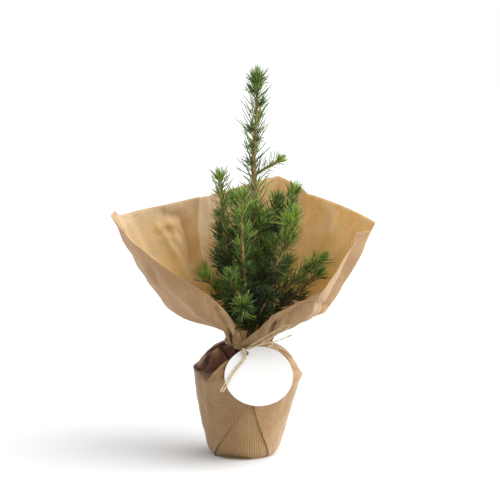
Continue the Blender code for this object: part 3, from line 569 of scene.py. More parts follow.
def crumple(points, normals, scale, depth):
    """Shallow sharp-edged facets, as in creased paper: each point moves along its outward direction."""
    near = [noise.voronoi(Vector(point) * scale)[0] for point in points.reshape(-1, 3)]
    relief = np.array([places[1] - places[0] for places in near]) - 0.35
    return points + normals * (relief * depth).reshape(*points.shape[:2], 1)


def sheet_normals(points):
    """Outward normals of a grid of points, rows up and columns round."""
    normals = np.cross(np.gradient(points, axis=1), np.gradient(points, axis=0))
    return normals / np.maximum(np.linalg.norm(normals, axis=2, keepdims=True), 1e-12)


def make_sheet(name, points, looks, across, along, faces=None):
    """A sheet of paper from a grid of points, whose ribs lie side by side across and run along.

    It gets its thickness inwards, and the last of its materials is that of the inner side.
    """
    uv = np.stack(np.broadcast_arrays(across, along), axis=-1) / RIB_PITCH
    piece = make_mesh(name, points, faces or grid_faces(*points.shape[:2]), looks, uv)
    solid = piece.modifiers.new("Sheet", "SOLIDIFY")
    solid.thickness = SHEET
    solid.offset = -1
    solid.material_offset = len(looks) - 1
    return piece


def mark(piece, name, strength):
    """Keeps a share from 0 to 1 at each point of a piece, such as how deep in a fold it lies."""
    marks = piece.data.attributes.new(name, "FLOAT", "POINT")
    marks.data.foreach_set("value", np.clip(strength, 0, 1).astype(np.float32).ravel())


def nearness(points, line, width, side):
    """How near points on one side of the plant show to a line of the photograph, from 0 to 1 on it."""
    spots = photo_place(points)
    line = np.asarray(line, float)
    nearest = np.full(points.shape[:2], 1e9)
    for low, high in zip(line, line[1:]):
        run = high - low
        share = np.clip(((spots - low) @ run) / (run @ run), 0, 1)
        nearest = np.minimum(nearest, np.linalg.norm(spots - (low + share[..., None] * run), axis=2))
    faces_viewer = points[..., 1] < 6 * MM if side == 0 else points[..., 1] * side > 0
    return np.where(faces_viewer, np.clip(1 - nearest / width, 0, 1) ** 1.4, 0)


def fold_depth(points, folds):
    """How far the folds of a table move a sheet outwards."""
    return sum(nearness(points, line, width, side) * depth for line, width, depth, side in folds) * MM


def fold_share(points, folds, spread=1.0):
    """How near points lie to any fold of a table, whose widths are multiplied by spread."""
    return sum(nearness(points, line, width * spread, side) for line, width, depth, side in folds)


def gather(turn):
    """Uneven sharp gathers round the neck, from -1 to 1."""
    wander = turn + 0.16 * np.sin(3 * turn + 0.8) + 0.07 * np.sin(7 * turn + 2.0)
    first = 2 / math.pi * np.arcsin(np.sin(11 * wander + 0.6))
    second = 2 / math.pi * np.arcsin(np.sin(17 * wander + 2.1))
    return 0.6 * first + 0.4 * second


def tie_height(turn):
    return TIE_HEIGHT + TIE_DIP_FRONT * np.sin(turn) - SLOPE * NECK_RADIUS * np.cos(turn)


def front_share(turn):
    """1 where the collar faces the viewer, 0 at its sides and back."""
    share = np.clip((-np.sin(turn) - 0.22) / 0.4, 0, 1)
    return share * share * (3 - 2 * share)


def height_share(height, edge_height):
    """How far up from the tie to the collar's edge a height lies."""
    return (height - TIE_HEIGHT) / np.maximum(edge_height - TIE_HEIGHT, 8 * MM)


def collar_grid(turns, edge_radius, edge_height, rows):
    """Points of the collar sheet: rows up from the tie, columns round."""
    rise = smooth_curve(COLLAR_RISE, rows)
    share = front_share(turns)[None]
    up = rise[:, 1:2] * (1 - share) + rise[:, 2:] * share
    foot = tie_height(turns) + 0.3 * MM
    radius = NECK_RADIUS + (edge_radius - NECK_RADIUS) * rise[:, :1]
    height = foot + (edge_height - foot) * up
    fade = np.clip(1 - up * 2.6, 0, 1) ** 1.5
    swell = np.clip(up / 0.08, 0, 1)
    radius = radius + (0.7 + 2.8 * swell) * MM * fade * gather(turns)[None]
    return np.stack([NECK_CENTRE_X + radius * np.cos(turns), radius * np.sin(turns), height], axis=2)


def make_collar(outside, inside):
    columns, rows = 540, 92
    angles, radii, heights = table(COLLAR_EDGE)
    places = np.linspace(angles[0], angles[-1], columns)
    turns = np.radians(places)
    edge_height = np.interp(places, angles, heights) * MM
    points = collar_grid(turns, np.interp(places, angles, radii) * MM, edge_height, rows)
    # The lobe's end lies over the rolled end
    over = np.clip((angles[0] + 16 - places) / 16, 0, 1) * 1.3 * MM
    under = np.clip((places - angles[-1] + 20) / 20, 0, 1) * 1.6 * MM
    points += (over - under)[:, None] * np.stack([np.cos(turns), np.sin(turns), np.zeros(columns)], axis=1)
    normals = sheet_normals(points)
    points = points + normals * fold_depth(points, COLLAR_FOLDS)[..., None]
    painted_valley_shade = fold_share(points, [row for row in COLLAR_FOLDS if row[2] * row[3] > COLLAR_PAINTED_SHADE_FOLD])
    points = crumple(points, normals, 34.0, 2.2 * MM)
    # The sheet's ribs are straight lines when it lies flat, so they circle its sides and climb its back
    climb = walked_along(points)
    across = (0.118 + climb) * np.cos(turns)
    piece = make_sheet("collar_sheet", points, [outside, inside], across, climb)
    # Painted shade: darker paper in the folds that go away from the viewer
    mark(piece, "painted_fold_shade", painted_valley_shade * 0.35)
    # Painted glow and shade: low in the collar, at its right and in places at its rim the inner side is
    # painted golden brown, and near the tie the outer side a richer brown, standing in for light through the
    # sheet and for shade
    rise = height_share(points[..., 2], edge_height)
    low = 0.9 * np.clip(2.3 - 2.2 * rise, 0, 1)
    right = np.clip(np.cos(turns - 0.5) * 1.6, 0, 1)
    rim = np.clip(rise * 3 - 2, 0, 1)
    spots = sum(nearness(points, line, width, 1) for line, width in COLLAR_GLOW_AND_SHADE_LINES)
    mark(piece, "neck", 1.25 - 2.4 * rise)
    mark(piece, "painted_glow_and_shade", 0.06 + low * (1 - 0.6 * right) + right * (0.28 + 0.6 * rim) + 1.1 * spots)
    return piece


def make_flap(outside, inside):
    """The folded-up front corner of the sheet, whose tip stands behind the lobe."""
    rows, columns = 14, 16
    share = np.linspace(0, 1, rows)[:, None]
    across = np.linspace(-1, 1, columns)[None]
    x = -2.6 + 0.6 * share + across * (2.2 + 3.6 * share**0.7)
    y = -20.8 - 1.6 * share + 1.1 * np.abs(across) ** 1.5 * share
    z = 94.5 + 17.2 * share - 0.7 * across * share
    points = np.stack([x, y, z], axis=2) * MM
    return make_sheet("collar_flap", points, [outside, inside], points[..., 0], points[..., 2])


def panel_edges(height):
    heights, left, right = table(PANEL_EDGES)
    return np.interp(height / MM, heights, left), np.interp(height / MM, heights, right)


def shoulder_relief(degrees, height):
    """Radial relief of the gathered shoulder at an angle and height."""
    rise = np.clip((height - SHOULDER_HEIGHT) / (TIE_HEIGHT - SHOULDER_HEIGHT), -0.9, 1)
    share = np.clip(rise, 0, 1)
    above = np.maximum(np.sin(math.pi * share**0.7) ** 0.8 + 0.25 * share, 0.35 * (1 - share))
    below = np.clip(1 + rise / 0.9, 0, 1) ** 2 * 0.35
    relief = np.zeros(np.broadcast(degrees, height).shape)
    for at_tie, at_rim, width, depth in SHOULDER_FOLDS:
        centre = at_rim + (at_tie - at_rim) * share
        away = np.abs((degrees - centre + 180) % 360 - 180)
        relief += depth * MM * np.clip(1 - away / width, 0, 1)
    return relief * np.where(rise > 0, above, below)


def band(value, low, high, soft):
    """1 between low and high, falling to 0 over a soft margin outside them."""
    return np.clip((value - low) / soft + 1, 0, 1) * np.clip((high - value) / soft + 1, 0, 1)


def wrap_points(degrees, radius, height):
    """Places of the wrap at angles and (radius, height) rows, with its folds and its lean."""
    turn = np.radians(degrees)
    reach = radius + shoulder_relief(degrees, height)
    for side, power, depth, low, high, soft in WRAP_SWELLS:
        beside = np.clip(side * np.cos(turn), 0, 1) ** power
        reach = reach + beside * depth * MM * band(height / MM, low, high, soft)
    # The straight fold in front of the underside flattens the lowest part
    facing = np.maximum(np.cos(turn - math.radians(FOOT_FOLD_ANGLE)), 0.05)
    chord = FOOT_FOLD / facing + 9 * MM * np.clip(height / FOOT_HEIGHT, 0, 1) ** 0.7
    reach = np.where(height < FOOT_HEIGHT, np.minimum(reach, np.maximum(chord, FOOT_FOLD)), reach)
    shoulder = np.clip((height - SHOULDER_HEIGHT) / (TIE_HEIGHT - SHOULDER_HEIGHT), 0, 1)
    reach = reach + 0.9 * MM * shoulder**2 * gather(turn)
    level = height + TIE_DIP_FRONT * np.sin(turn) * shoulder**2
    level = level - SLOPE * reach * np.cos(turn) * np.minimum(1.0, height / SHOULDER_HEIGHT)
    return np.stack([SLOPE * height + reach * np.cos(turn), reach * np.sin(turn), level], axis=2)


def pot_room(points):
    """How far the wrap may fold inwards before it meets the pot."""
    heights, radii = points[..., 2], np.hypot(points[..., 0] - SLOPE * points[..., 2], points[..., 1])
    widths, levels = (column * MM for column in table(POT_PROFILE))
    beside = radii - np.interp(heights, levels, widths)
    above = np.hypot(radii - widths[-1], heights - levels[-1])
    return np.maximum(np.where(heights < levels[-1], beside, above) - POT_GAP, 0)


def grounded(points):
    """The same points, with none below the ground."""
    points[..., 2] = np.maximum(points[..., 2], GROUND_GAP)
    return points


def make_wrap(outside, inside):
    """The side panels, one sheet from the right overlap edge round the back to the left one."""
    rows, columns = 126, 392
    profile = np.array(WRAP_PROFILE) * MM
    wall = smooth_curve(profile[:WALL_STOPS], rows // 2)
    shoulder = smooth_curve(profile[WALL_STOPS - 1 :], rows - rows // 2 + 1)[1:]
    profile = np.concatenate([wall, shoulder])
    radius, height = profile[:, :1], profile[:, 1:]
    left, right = panel_edges(height)
    # Above the front triangle the left panel laps over the right one
    lap = np.clip((height - 50 * MM) / (10 * MM), 0, 1)
    left, right = left + 9 * lap, right - 6 * lap
    share = np.linspace(0, 1, columns)[None]
    degrees = right + (left + 360 - right) * share
    near_left = np.clip((share - 0.97) / 0.03, 0, 1)
    near_right = np.clip((0.03 - share) / 0.03, 0, 1)
    lift = (0.55 * near_left + 0.35 * near_right - near_right * lap) * MM
    points = wrap_points(degrees, radius + lift, height)
    normals = sheet_normals(points)
    painted_valley_shade = fold_share(points, [row for row in WRAP_FOLDS if row[2] < WRAP_PAINTED_SHADE_FOLD], 1.8)
    painted_ridge_light = fold_share(points, [row for row in WRAP_FOLDS if row[2] > WRAP_PAINTED_LIGHT_RIDGE])
    painted_gather_shade = np.clip(-shoulder_relief(degrees, height) / (3 * MM), 0, 1)
    facing = np.clip((-normals[..., 1] - 0.05) / 0.2, 0, 1)
    depth = np.maximum(fold_depth(points, WRAP_FOLDS) * facing, -pot_room(points))
    points = grounded(crumple(points + normals * depth[..., None], normals, 52.0, 0.9 * MM))
    climb = walked_along(profile)[:, None]
    piece = make_sheet("wrap_sheet", points, [outside, inside], climb, np.radians(degrees) * radius)
    # Painted shade: darker paper in the deep valleys and in the shoulder's gathers, less of it on the ridges
    mark(piece, "painted_fold_shade", 1.9 * painted_valley_shade - 0.6 * painted_ridge_light + 0.3 * painted_gather_shade)
    return piece


def make_front_panel(outside, inside):
    """The front triangle of the wrap, tucked under both side panels."""
    rows, columns = 46, 70
    profile = smooth_curve(np.array(WRAP_PROFILE[: WALL_STOPS - 1]) * MM, rows)
    radius, height = profile[:, :1], profile[:, 1:]
    left, right = panel_edges(height)
    degrees = (left - 12) + (right - left + 24) * np.linspace(0, 1, columns)[None]
    points = wrap_points(degrees, radius - 0.9 * MM, height)
    points = grounded(crumple(points, sheet_normals(points), 60.0, 0.5 * MM))
    return make_sheet("wrap_front", points, [outside, inside], points[..., 0], points[..., 2])


def make_underside(look):
    """The flat folded underside."""
    rows, columns = 14, 96
    radius = np.linspace(1.0, 27.2, rows)[:, None] * MM
    turns = np.linspace(0, 2 * math.pi, columns, endpoint=False)[None]
    x, y = radius * np.cos(turns), radius * np.sin(turns)
    z = 0.2 * MM + 0.25 * MM * np.abs(np.sin(2 * turns)) ** 6
    points = np.stack(np.broadcast_arrays(x, y, z), axis=2)
    faces = grid_faces(rows, columns, closed=True) + [tuple(range(columns))]
    return make_sheet("wrap_underside", points, [look], y, x, faces)


# Tag and twine

TAG_RADIUS = 28.7 * MM
TAG_THICKNESS = 0.8 * MM
TAG_EDGE = 0.12 * MM
TAG_LEAN = math.radians(42.0)
TAG_HOLE_RADIUS = 2.2 * MM
TAG_HOLE = (-10.6 * MM, 22.0 * MM)
TAG_NORMAL = Vector((0, -math.cos(TAG_LEAN), math.sin(TAG_LEAN)))
TAG_UP = Vector((0, math.sin(TAG_LEAN), math.cos(TAG_LEAN)))


def tag_middle():
    low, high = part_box("tag")
    return (low + high) / 2


def make_tag(look):
    """The round card with its punched hole and softly pressed edges."""
    sides = 144
    turns = 2 * math.pi * np.arange(sides) / sides
    outer = np.stack([np.cos(turns), np.sin(turns)], axis=1)
    half = TAG_THICKNESS / 2
    # Each ring is (share of the way from hole to rim, inset from that edge, distance through the card)
    back = (
        (0.0, 0.0, -half + TAG_EDGE),
        (0.0, TAG_EDGE, -half),
        (0.5, 0.0, -half),
        (1.0, TAG_EDGE, -half),
        (1.0, 0.0, -half + TAG_EDGE),
    )
    plan = back + tuple((share, inset, -depth) for share, inset, depth in reversed(back))
    rings = []
    for share, inset, depth in plan:
        near_hole = TAG_HOLE + outer * (TAG_HOLE_RADIUS + inset)
        near_rim = outer * (TAG_RADIUS - inset)
        flat = near_hole * (1 - share) + near_rim * share
        rings.append(flat @ np.array(((1, 0, 0), TAG_UP)) + np.array(tag_middle() + TAG_NORMAL * depth))
    # The faces from the last ring back to the first close the hole's wall
    total = len(plan) * sides
    looped = grid_faces(len(plan) + 1, sides, closed=True)
    faces = [tuple(corner % total for corner in face) for face in looped]
    piece = make_mesh("card_tag", rings, faces, [look])
    piece.data.set_sharp_from_angle(angle=math.radians(40))
    return piece


# The twine's loop on the card, as (across, up) in mm, and how far to the left it lies from the card's middle
TWINE_ON_CARD = (
    (0.2, 17), (-9.5, 2), (-16.5, -11), (-18.5, -15.5), (-16.3, -15.0), (-13.4, -9.5), (-7.3, 2.5), (2.2, 17),
)
TWINE_LEFT = 13.2
# Angles round the neck, in degrees: where the twine leaves it, and where the paper covers it and how widely
TWINE_START = 268
TWINE_SUNK = (218, 17)


def twine_paths():
    """The knot and the centre lines of the twine's runs, repeated from the solids."""
    centre = tag_middle()
    hole = centre + Vector((TAG_HOLE[0], 0, 0)) + TAG_UP * TAG_HOLE[1]
    lift = TAG_NORMAL * (TAG_THICKNESS / 2 + 1.0 * MM)
    knot = hole + TAG_NORMAL * (TAG_THICKNESS / 2 + 2.4 * MM) + Vector((-2.2, 0, 1.0)) * MM
    front = math.radians(TWINE_START)
    out = Vector((math.cos(front), math.sin(front), 0))
    start = Vector((NECK_CENTRE_X, 0, tie_height(front))) + out * (NECK_RADIUS + 1.9 * MM)

    def place(*position):
        return Vector(position) * MM

    first = [start, hole - TAG_NORMAL * 2.5 * MM, hole + TAG_NORMAL * 0.2 * MM, knot]
    card = [centre + lift + place(x - TWINE_LEFT, 0, 0) + TAG_UP * (up * MM) for x, up in TWINE_ON_CARD]
    upper = [knot, knot + place(9, -0.5, 6), knot + place(21, -1.5, 13.5)]
    upper += [place(37.0, -42.5, 119.5), place(38.6, -43.5, 118.0)]
    upper += [knot + place(22.5, -3.5, 11.2), knot + place(10, -3, 4.0), knot]
    loose = [knot, knot + place(12, -4.6, 5.2), place(30, -42, 106.5), place(41.5, -43, 111.5)]
    return knot, (first, [knot, *card, knot], upper, loose)


def add_twist(batch, path, radius=0.31 * MM, reach=0.29 * MM, pitch=12 * MM):
    """Two strands twisted round a path."""
    normals, others = frames(path)[1:]
    walked = walked_along(path)
    for start in (0, math.pi):
        offset = turned(normals, others, 2 * math.pi * walked / pitch + start)
        batch.add_tube(path + offset * reach, radius * (1 + 0.12 * np.sin(walked / MM * 2.1 + start)), 7)


def make_twine(look):
    batch = Batch()
    turns = np.radians(np.linspace(0, 360, 150))
    middle, width = np.radians(TWINE_SUNK)
    sunk = np.clip(1 - np.abs(turns - middle) / width, 0, 1) ** 0.5
    for rise, spread in ((-0.6, 1.2), (0.65, 1.0)):
        neck = NECK_RADIUS + (spread + 0.55 * gather(turns) - 2.6 * sunk) * MM
        ring = [NECK_CENTRE_X + neck * np.cos(turns), neck * np.sin(turns), tie_height(turns) + rise * MM]
        add_twist(batch, np.stack(ring, axis=1))
    knot, runs = twine_paths()
    for run in runs:
        length = walked_along(np.array(run))[-1]
        add_twist(batch, smooth_curve(run, max(12, int(length / (0.8 * MM)))))
    # The knot: a few tight turns
    turns = np.linspace(0, 4.6 * math.pi, 90)
    spin = Matrix.Rotation(0.5, 3, "Y") @ Matrix.Rotation(0.7, 3, "X")
    for tilt in (0.0, 1.35):
        around = np.array(spin @ Matrix.Rotation(tilt, 3, "Y"))
        loops = np.stack([np.cos(turns) * 1.35, np.sin(turns), np.sin(turns * 0.5 + tilt)], axis=1) * MM
        add_twist(batch, loops @ around.T + np.array(knot))
    return batch.make("twine_strands", look)


# Trunk and boughs

def trunk_point(height):
    """Centre of the trunk at a height in mm."""
    across, heights = table(TRUNK_LINE)
    x = np.interp(height, heights, across)
    return np.stack([x, 0 * x, np.asarray(height)], axis=-1) * MM


def trunk_radius(height):
    radii, heights = table(TRUNK_TAPER)
    return np.interp(height, heights, radii) * MM


def limb(height, tip, spread):
    """The curve of a whole limb from the trunk's bark to the tip of its foliage."""
    axis = trunk_point(float(height))
    tip = np.array(tip) * MM
    outward = unit((tip - axis) * (1, 1, 0))
    root = axis + outward * (trunk_radius(height) * 0.6)
    middle = root + (tip - root) * (spread, spread, 1 - 0.95 * spread)
    share = np.linspace(0, 1, 61)[:, None]
    return root * (1 - share) ** 2 + middle * 2 * share * (1 - share) + tip * share**2


def bark_relief(path, sides, depth, chance):
    """Uneven bark: lengthwise ridges and small leaf pegs."""
    start = chance.uniform(0, 50)
    relief = np.ones((len(path), sides))
    for row, along in enumerate(walked_along(path) / MM):
        for side, turn in enumerate(2 * math.pi * np.arange(sides) / sides):
            place = Vector((math.cos(turn) * 1.6, math.sin(turn) * 1.6, along * 0.45 + start))
            relief[row, side] += depth * noise.noise(place) + depth * 0.6 * noise.noise(place * 2.7)
    return relief


def make_trunk(look, chance):
    batch = Batch()
    heights = np.linspace(TRUNK_FOOT, TRUNK_TOP, 420)
    path = trunk_point(heights)
    path[:, 0] += 0.25 * MM * np.sin(heights * 0.31)
    batch.add_tube(path, trunk_radius(heights), 20, bark_relief(path, 20, 0.16, chance))
    return batch.make("trunk_bark", look)


def make_boughs(look, chance):
    """The bare lower part of each limb, thicker at its root."""
    batch = Batch()
    for row in BOUGHS:
        height, tip, spread, bare = row[1:5]
        path = limb(height, tip, spread)
        split = round(bare * (len(path) - 1)) + 1
        path = smooth_curve(path[: split + 1], 60)
        radii = np.linspace(*BOUGH_RADII, len(path)) * MM
        radii[:6] += np.linspace(BOUGH_ROOT_SWELL, 0, 6) * MM
        batch.add_tube(path, radii, 10, bark_relief(path, 10, 0.14, chance))
    return batch.make("bough_bark", look)


# Foliage

class Foliage:
    """Grows twigs, buds and needles by the source's rule, carried to finer twigs, and deals out the tones,
    whose darker ones are painted shade deep in the crown.
    """

    def __init__(self, chance):
        self.chance = chance
        self.twigs, self.buds = Batch(), Batch()
        self.needles = [[] for tone in TONES]
        self.edge = table(COLLAR_EDGE)
        self.rise = table(COLLAR_RISE)

    def spray(self, count, low, high):
        """As many seeded random numbers."""
        return np.array([self.chance.uniform(low, high) for number in range(count)])

    def paper_room(self, points):
        """Distance inwards from the collar, large above its edge."""
        offset = points[..., :2] - np.array((NECK_CENTRE_X, 0))
        turn = np.arctan2(offset[..., 1], offset[..., 0])
        degrees = np.degrees(turn) % 360
        degrees = np.where(degrees < 245, degrees + 360, degrees)
        angles, radii, heights = self.edge
        edge_radius, edge_height = (np.interp(degrees, angles, sizes) * MM for sizes in (radii, heights))
        out, at_back, at_front = self.rise
        up = height_share(points[..., 2], edge_height)
        back, front = np.interp(up, at_back, out), np.interp(up, at_front, out)
        share = front_share(turn)
        wall = NECK_RADIUS + (edge_radius - NECK_RADIUS) * (back * (1 - share) + front * share)
        room = wall - np.linalg.norm(offset, axis=-1)
        return np.where(points[..., 2] > edge_height, 1.0, room)

    def is_free(self, points, gap):
        """Whether all points of each row keep clear of the paper and of the trunk."""
        clear = self.paper_room(points) > gap
        heights = np.clip(points[..., 2] / MM, 60, TRUNK_TOP - 1)
        away = np.linalg.norm(points[..., :2] - trunk_point(heights)[..., :2], axis=-1)
        bare = (away > trunk_radius(heights) + 0.1 * MM) | (points[..., 2] > (TRUNK_TOP + 0.5) * MM)
        return (clear & bare).all(axis=-1)

    def dress(
        self,
        path,
        tone,
        pitch=(64, 44),
        density=NEEDLES_PER_MM,
        size=1.0,
        radius=0.6 * MM,
        first=0.0,
        open_side=None,
    ):
        """Needles all round a twig, closer to it and lighter in tone towards its tip, partly as young growth
        is and partly as painted shade near its root; fewer on its open side.
        """
        walked = walked_along(path)
        total = walked[-1]
        count = max(4, int((total - first) / MM * density))
        along = first + (total - first) * (np.arange(count) + self.spray(count, 0, 1)) / count
        at = np.stack([np.interp(along, walked, path[:, axis]) for axis in range(3)], axis=1)
        pick = np.clip(np.searchsorted(walked, along), 1, len(path) - 1)
        tangent, normal, other = (part[pick] for part in frames(path))
        radial = turned(normal, other, GOLDEN_TURN * np.arange(count) + self.spray(count, -0.5, 0.5))
        share = along / max(total, 1e-9)
        lean = np.radians(pitch[0] + (pitch[1] - pitch[0]) * share) + self.spray(count, -0.42, 0.42)
        # Needles turn up towards the light
        loose = self.spray(3 * count, -0.16, 0.16).reshape(-1, 3) + (0, 0, 0.06)
        direction = unit(turned(tangent, radial, lean) + loose)
        lengths = NEEDLE_LENGTH * size * self.spray(count, 0.6, 1.2)
        tones = tone + 0.35 - 0.7 * share
        keep = np.ones(count, bool)
        if open_side is not None:
            keep = (radial @ open_side < 0.5) | (self.spray(count, 0, 1) > 0.72) | (share > 0.85)
        parts = at + radial * radius * 0.7, direction, tangent, lengths, tones
        self.add_needles(*(part[keep] for part in parts))

    def add_needles(self, roots, directions, ahead, lengths, tone):
        """Needles that keep clear of paper and trunk, each in a tone near the one given."""
        tips = directions * lengths[:, None]
        line = roots[:, None] + tips[:, None] * np.array((0.3, 0.65, 1.0))[:, None]
        free = self.is_free(line, PAPER_GAP)
        count = len(roots)
        tones = tone + self.spray(count, -0.9, 0.9) + self.spray(count, -0.45, 0.45)
        tones = np.round(np.clip(tones, 0, 3)).astype(int)
        for level, needles in enumerate(self.needles):
            pick = free & (tones == level)
            needles.append((roots[pick], directions[pick], ahead[pick], lengths[pick]))

    def tuft(self, tip, along, tone, size=1.0, count=18, spread=56):
        """A bud and the close whorl of young needles round it."""
        along = unit(np.asarray(along, float))
        self.buds.add_bud(tip, along, 2.4 * MM * size, 0.65 * MM * size)
        side = unit(np.cross(along, (0.2, 0.9, 0.4)))
        radial = turned(side, np.cross(along, side), GOLDEN_TURN * np.arange(count))
        lean = np.radians(np.linspace(8, spread, count)) + self.spray(count, -0.13, 0.13)
        direction = turned(along, radial, lean)
        lengths = NEEDLE_LENGTH * size * np.linspace(0.75, 1.0, count) * self.spray(count, 0.65, 1.15)
        roots = tip - along * (np.linspace(0.2, 3.0, count) * MM)[:, None] + radial * 0.5 * MM
        self.add_needles(roots, direction, np.repeat(along[None], count, 0), lengths, tone)

    def twig(self, place, out, bend, length, tone, axis, depth=0):
        """A side twig that curves towards bend, with its own finer twigs, needles and tuft."""
        away = np.linalg.norm(axis - (place + out * length), axis=1).min()
        if away > TWIG_SPACE:
            length *= max(0.35, TWIG_SPACE / away)
        share = np.linspace(0, 1, 9)[:, None]
        path = place + out * length * share + bend * length * 0.3 * share**2
        if not self.is_free(path[3:], TWIG_GAP):
            return
        thick = (0.7 if depth == 0 else 0.5) * MM
        self.twigs.add_tube(path, np.linspace(thick, thick * 0.7, len(path)), 6)
        self.dress(path, tone, (54, 36), 1.9, 0.85, thick, 1.0 * MM)
        self.tuft(path[-1], path[-1] - path[-2], tone - 0.4, 0.8, 14)
        if depth > 0 or length < 9 * MM:
            return
        tangents, normals, others = frames(path)
        for part in (2, 4):
            radial = turned(normals[part], others[part], self.chance.uniform(0, 2 * math.pi))
            aside = turned(tangents[part], radial, math.radians(38))
            self.twig(path[part], aside, bend, length * 0.5, tone, axis, 1)

    def grow(self, name, height, tip, spread, bare, tone, reach):
        """One bough's mass: its stem, side twigs at even distances, needles and the tip's tuft."""
        whole = limb(height, tip, spread)
        split = round(bare * (len(whole) - 1))
        path = smooth_curve(whole[split:], 48)
        walked = walked_along(path)
        total = walked[-1]
        # The tip's needles reach past the stem, so the stem ends before the mass does
        rows = int(np.searchsorted(walked, total - 3 * MM))
        path, walked = path[:rows], walked[:rows]
        self.twigs.add_tube(path, np.linspace(1.25, 0.8, len(path)) * MM, 8)
        size, density = (0.8, 1.9) if name == SLIM_BOUGH else (1.0, NEEDLES_PER_MM)
        outward = unit((path[-1] - path[0]) * (1, 1, 0))
        self.dress(path, tone + 0.2, (66, 46), density, size, 1.0 * MM, open_side=outward)
        tangents, normals, others = frames(path)
        if tangents[-1][1] < -0.6:
            # The tip points at the viewer
            self.tuft(path[-1], tangents[-1], tone - 0.5, 1.0, 50, 92)
            # The drooping tuft below the tip gets a darker tone, a painted shade
            droop = tangents[-1] + np.array((0.1, 0.2, -0.9))
            self.tuft(path[-6], droop, tone + 0.8, 1.15, 44, 60)
        else:
            self.tuft(path[-1], tangents[-1], tone - 0.4, 0.95 * size, 40, 62)
        if name == SLIM_BOUGH:
            self.dress(whole[6 : split + 1], 1.5, (56, 46), 2.2, 0.75, 1.1 * MM)
        else:
            self.clothe(whole[8 : split + 1], 2.5)
        count = int(total * 0.8 / TWIG_SPACING) if reach else 0
        for number in range(count):
            share = (number + 0.35 + self.chance.uniform(-0.2, 0.2)) / count * 0.8
            row = min(int(np.searchsorted(walked, share * total)), rows - 1)
            turn = GOLDEN_TURN * number + self.chance.uniform(-0.3, 0.3)
            radial = turned(normals[row], others[row], turn)
            out = turned(tangents[row], radial, math.radians(self.chance.uniform(32, 46)))
            length = reach * (1 - 0.6 * share) * self.chance.uniform(0.8, 1.15) * MM
            bend = tangents[row] * 0.6 + np.array((0, 0, 0.5))
            # Side twigs near the bough's root get darker tones, a painted shade
            here = tone + 0.7 - 1.3 * share + self.chance.uniform(-0.3, 0.3)
            self.twig(path[row], out, bend, length, here, path)

    def clothe(self, path, tone):
        """Thin needles in dark tones, painted shade deep in the crown, and a few short twigs on a bough's own
        wood.
        """
        if len(path) < 5:
            return
        self.dress(path, tone, density=1.9, radius=1.1 * MM)
        tangents, normals, others = frames(path)
        for number, row in enumerate(range(2, len(path) - 1, 5)):
            turn = GOLDEN_TURN * number + self.chance.uniform(-0.4, 0.4)
            out = (tangents[row] + turned(normals[row], others[row], turn)) * 0.7
            self.twig(path[row], out, tangents[row], self.chance.uniform(6, 9) * MM, tone, path)

    def grow_heart(self):
        """Dark twigs that stand out of the trunk among the boughs: their needles' dark tones, darkest low
        down, are painted shade.
        """
        heights = np.arange(*HEART)
        up = np.array((0, 0, 1.0))
        for number, height in enumerate(heights):
            share = number / len(heights)
            turn = GOLDEN_TURN * number
            arm = np.array((math.cos(turn), math.sin(turn), 0.0))
            out = turned(up, arm, math.radians(58 - 14 * share))
            place = trunk_point(height) + arm * trunk_radius(height)
            axis = trunk_point(height + np.array((0, 5, 10)))
            self.twig(place, out, up * 0.6, (16 - 6 * share) * MM, 2.8 - 1.7 * share, axis)

    def grow_leader(self):
        """Needles straight on the leader, its short side tufts and its end bud."""
        for foot, top, density, tone, size, low, high in LEADER_STRETCHES:
            path = trunk_point(np.linspace(foot, top, 30))
            self.dress(path, tone, pitch=(low, high), density=density, size=size, radius=trunk_radius(top))
        for height, degrees, size in LEADER_TUFTS:
            turn = math.radians(degrees)
            out = np.array((math.cos(turn) * 0.6, math.sin(turn) * 0.6, 0.8))
            place = trunk_point(float(height)) + out * trunk_radius(height)
            path = np.linspace(place, place + out * 4 * MM * size, 6)
            self.twigs.add_tube(path, np.linspace(0.9, 0.7, 6) * MM, 6)
            self.buds.add_bud(path[2], out, 4 * MM, 1.3 * MM)
            self.dress(path, 1.7, density=2.6, size=0.62, first=1 * MM)
            self.tuft(path[-1], out, 1.5, 0.72 * size, 20)
        tip = trunk_point(TRUNK_TOP)
        up = np.array((0.02, 0, 1))
        self.tuft(tip, up, 0.8, 1.08, 48, 40)
        for turn in np.radians((20, 140, 260)):
            side = np.array((math.cos(turn) * 0.55, math.sin(turn) * 0.55, 0.83))
            self.tuft(tip - up * 4 * MM + side * 2.6 * MM, side, 1.4, 0.95, 26)

    def needle_piece(self, level, look):
        """All needles of one tone as one mesh; each is a slim bent blade with three sides and a point."""
        roots, directions, ahead, lengths = (np.concatenate(part) for part in zip(*self.needles[level]))
        normal = np.cross(directions, ahead)
        size = np.linalg.norm(normal, axis=1, keepdims=True)
        aside = np.cross(directions, (0.3, 0.2, 0.9))
        normal = unit(np.where(size > 1e-6, normal / np.maximum(size, 1e-6), aside))
        bend = np.cross(normal, directions)
        bend *= np.sign((bend * ahead).sum(axis=1, keepdims=True) + 1e-9)
        thick = NEEDLE_RADIUS * np.clip(lengths / NEEDLE_LENGTH, 0.8, 1.2)

        def middle(share):
            return roots + (directions * share + bend * (0.13 * share**2)) * lengths[:, None]

        rings = [
            middle(share) + turned(normal, bend, 2 * math.pi * corner / 3 + 0.5) * (thick * width)[:, None]
            for share, width in ((0.0, 0.75), (0.4, 1.0), (0.8, 0.75))
            for corner in range(3)
        ]
        points = np.stack([*rings, middle(1.0)], axis=1)
        starts = points.shape[1] * np.arange(len(roots))[:, None, None]
        quads = np.array(grid_faces(3, 3, closed=True)) + starts
        caps = np.array([(6, 7, 9), (7, 8, 9), (8, 6, 9)]) + starts
        faces = quads.reshape(-1, 4).tolist() + caps.reshape(-1, 3).tolist()
        return make_mesh(f"needles_{TONES[level]}", points, faces, [look])


# Compost

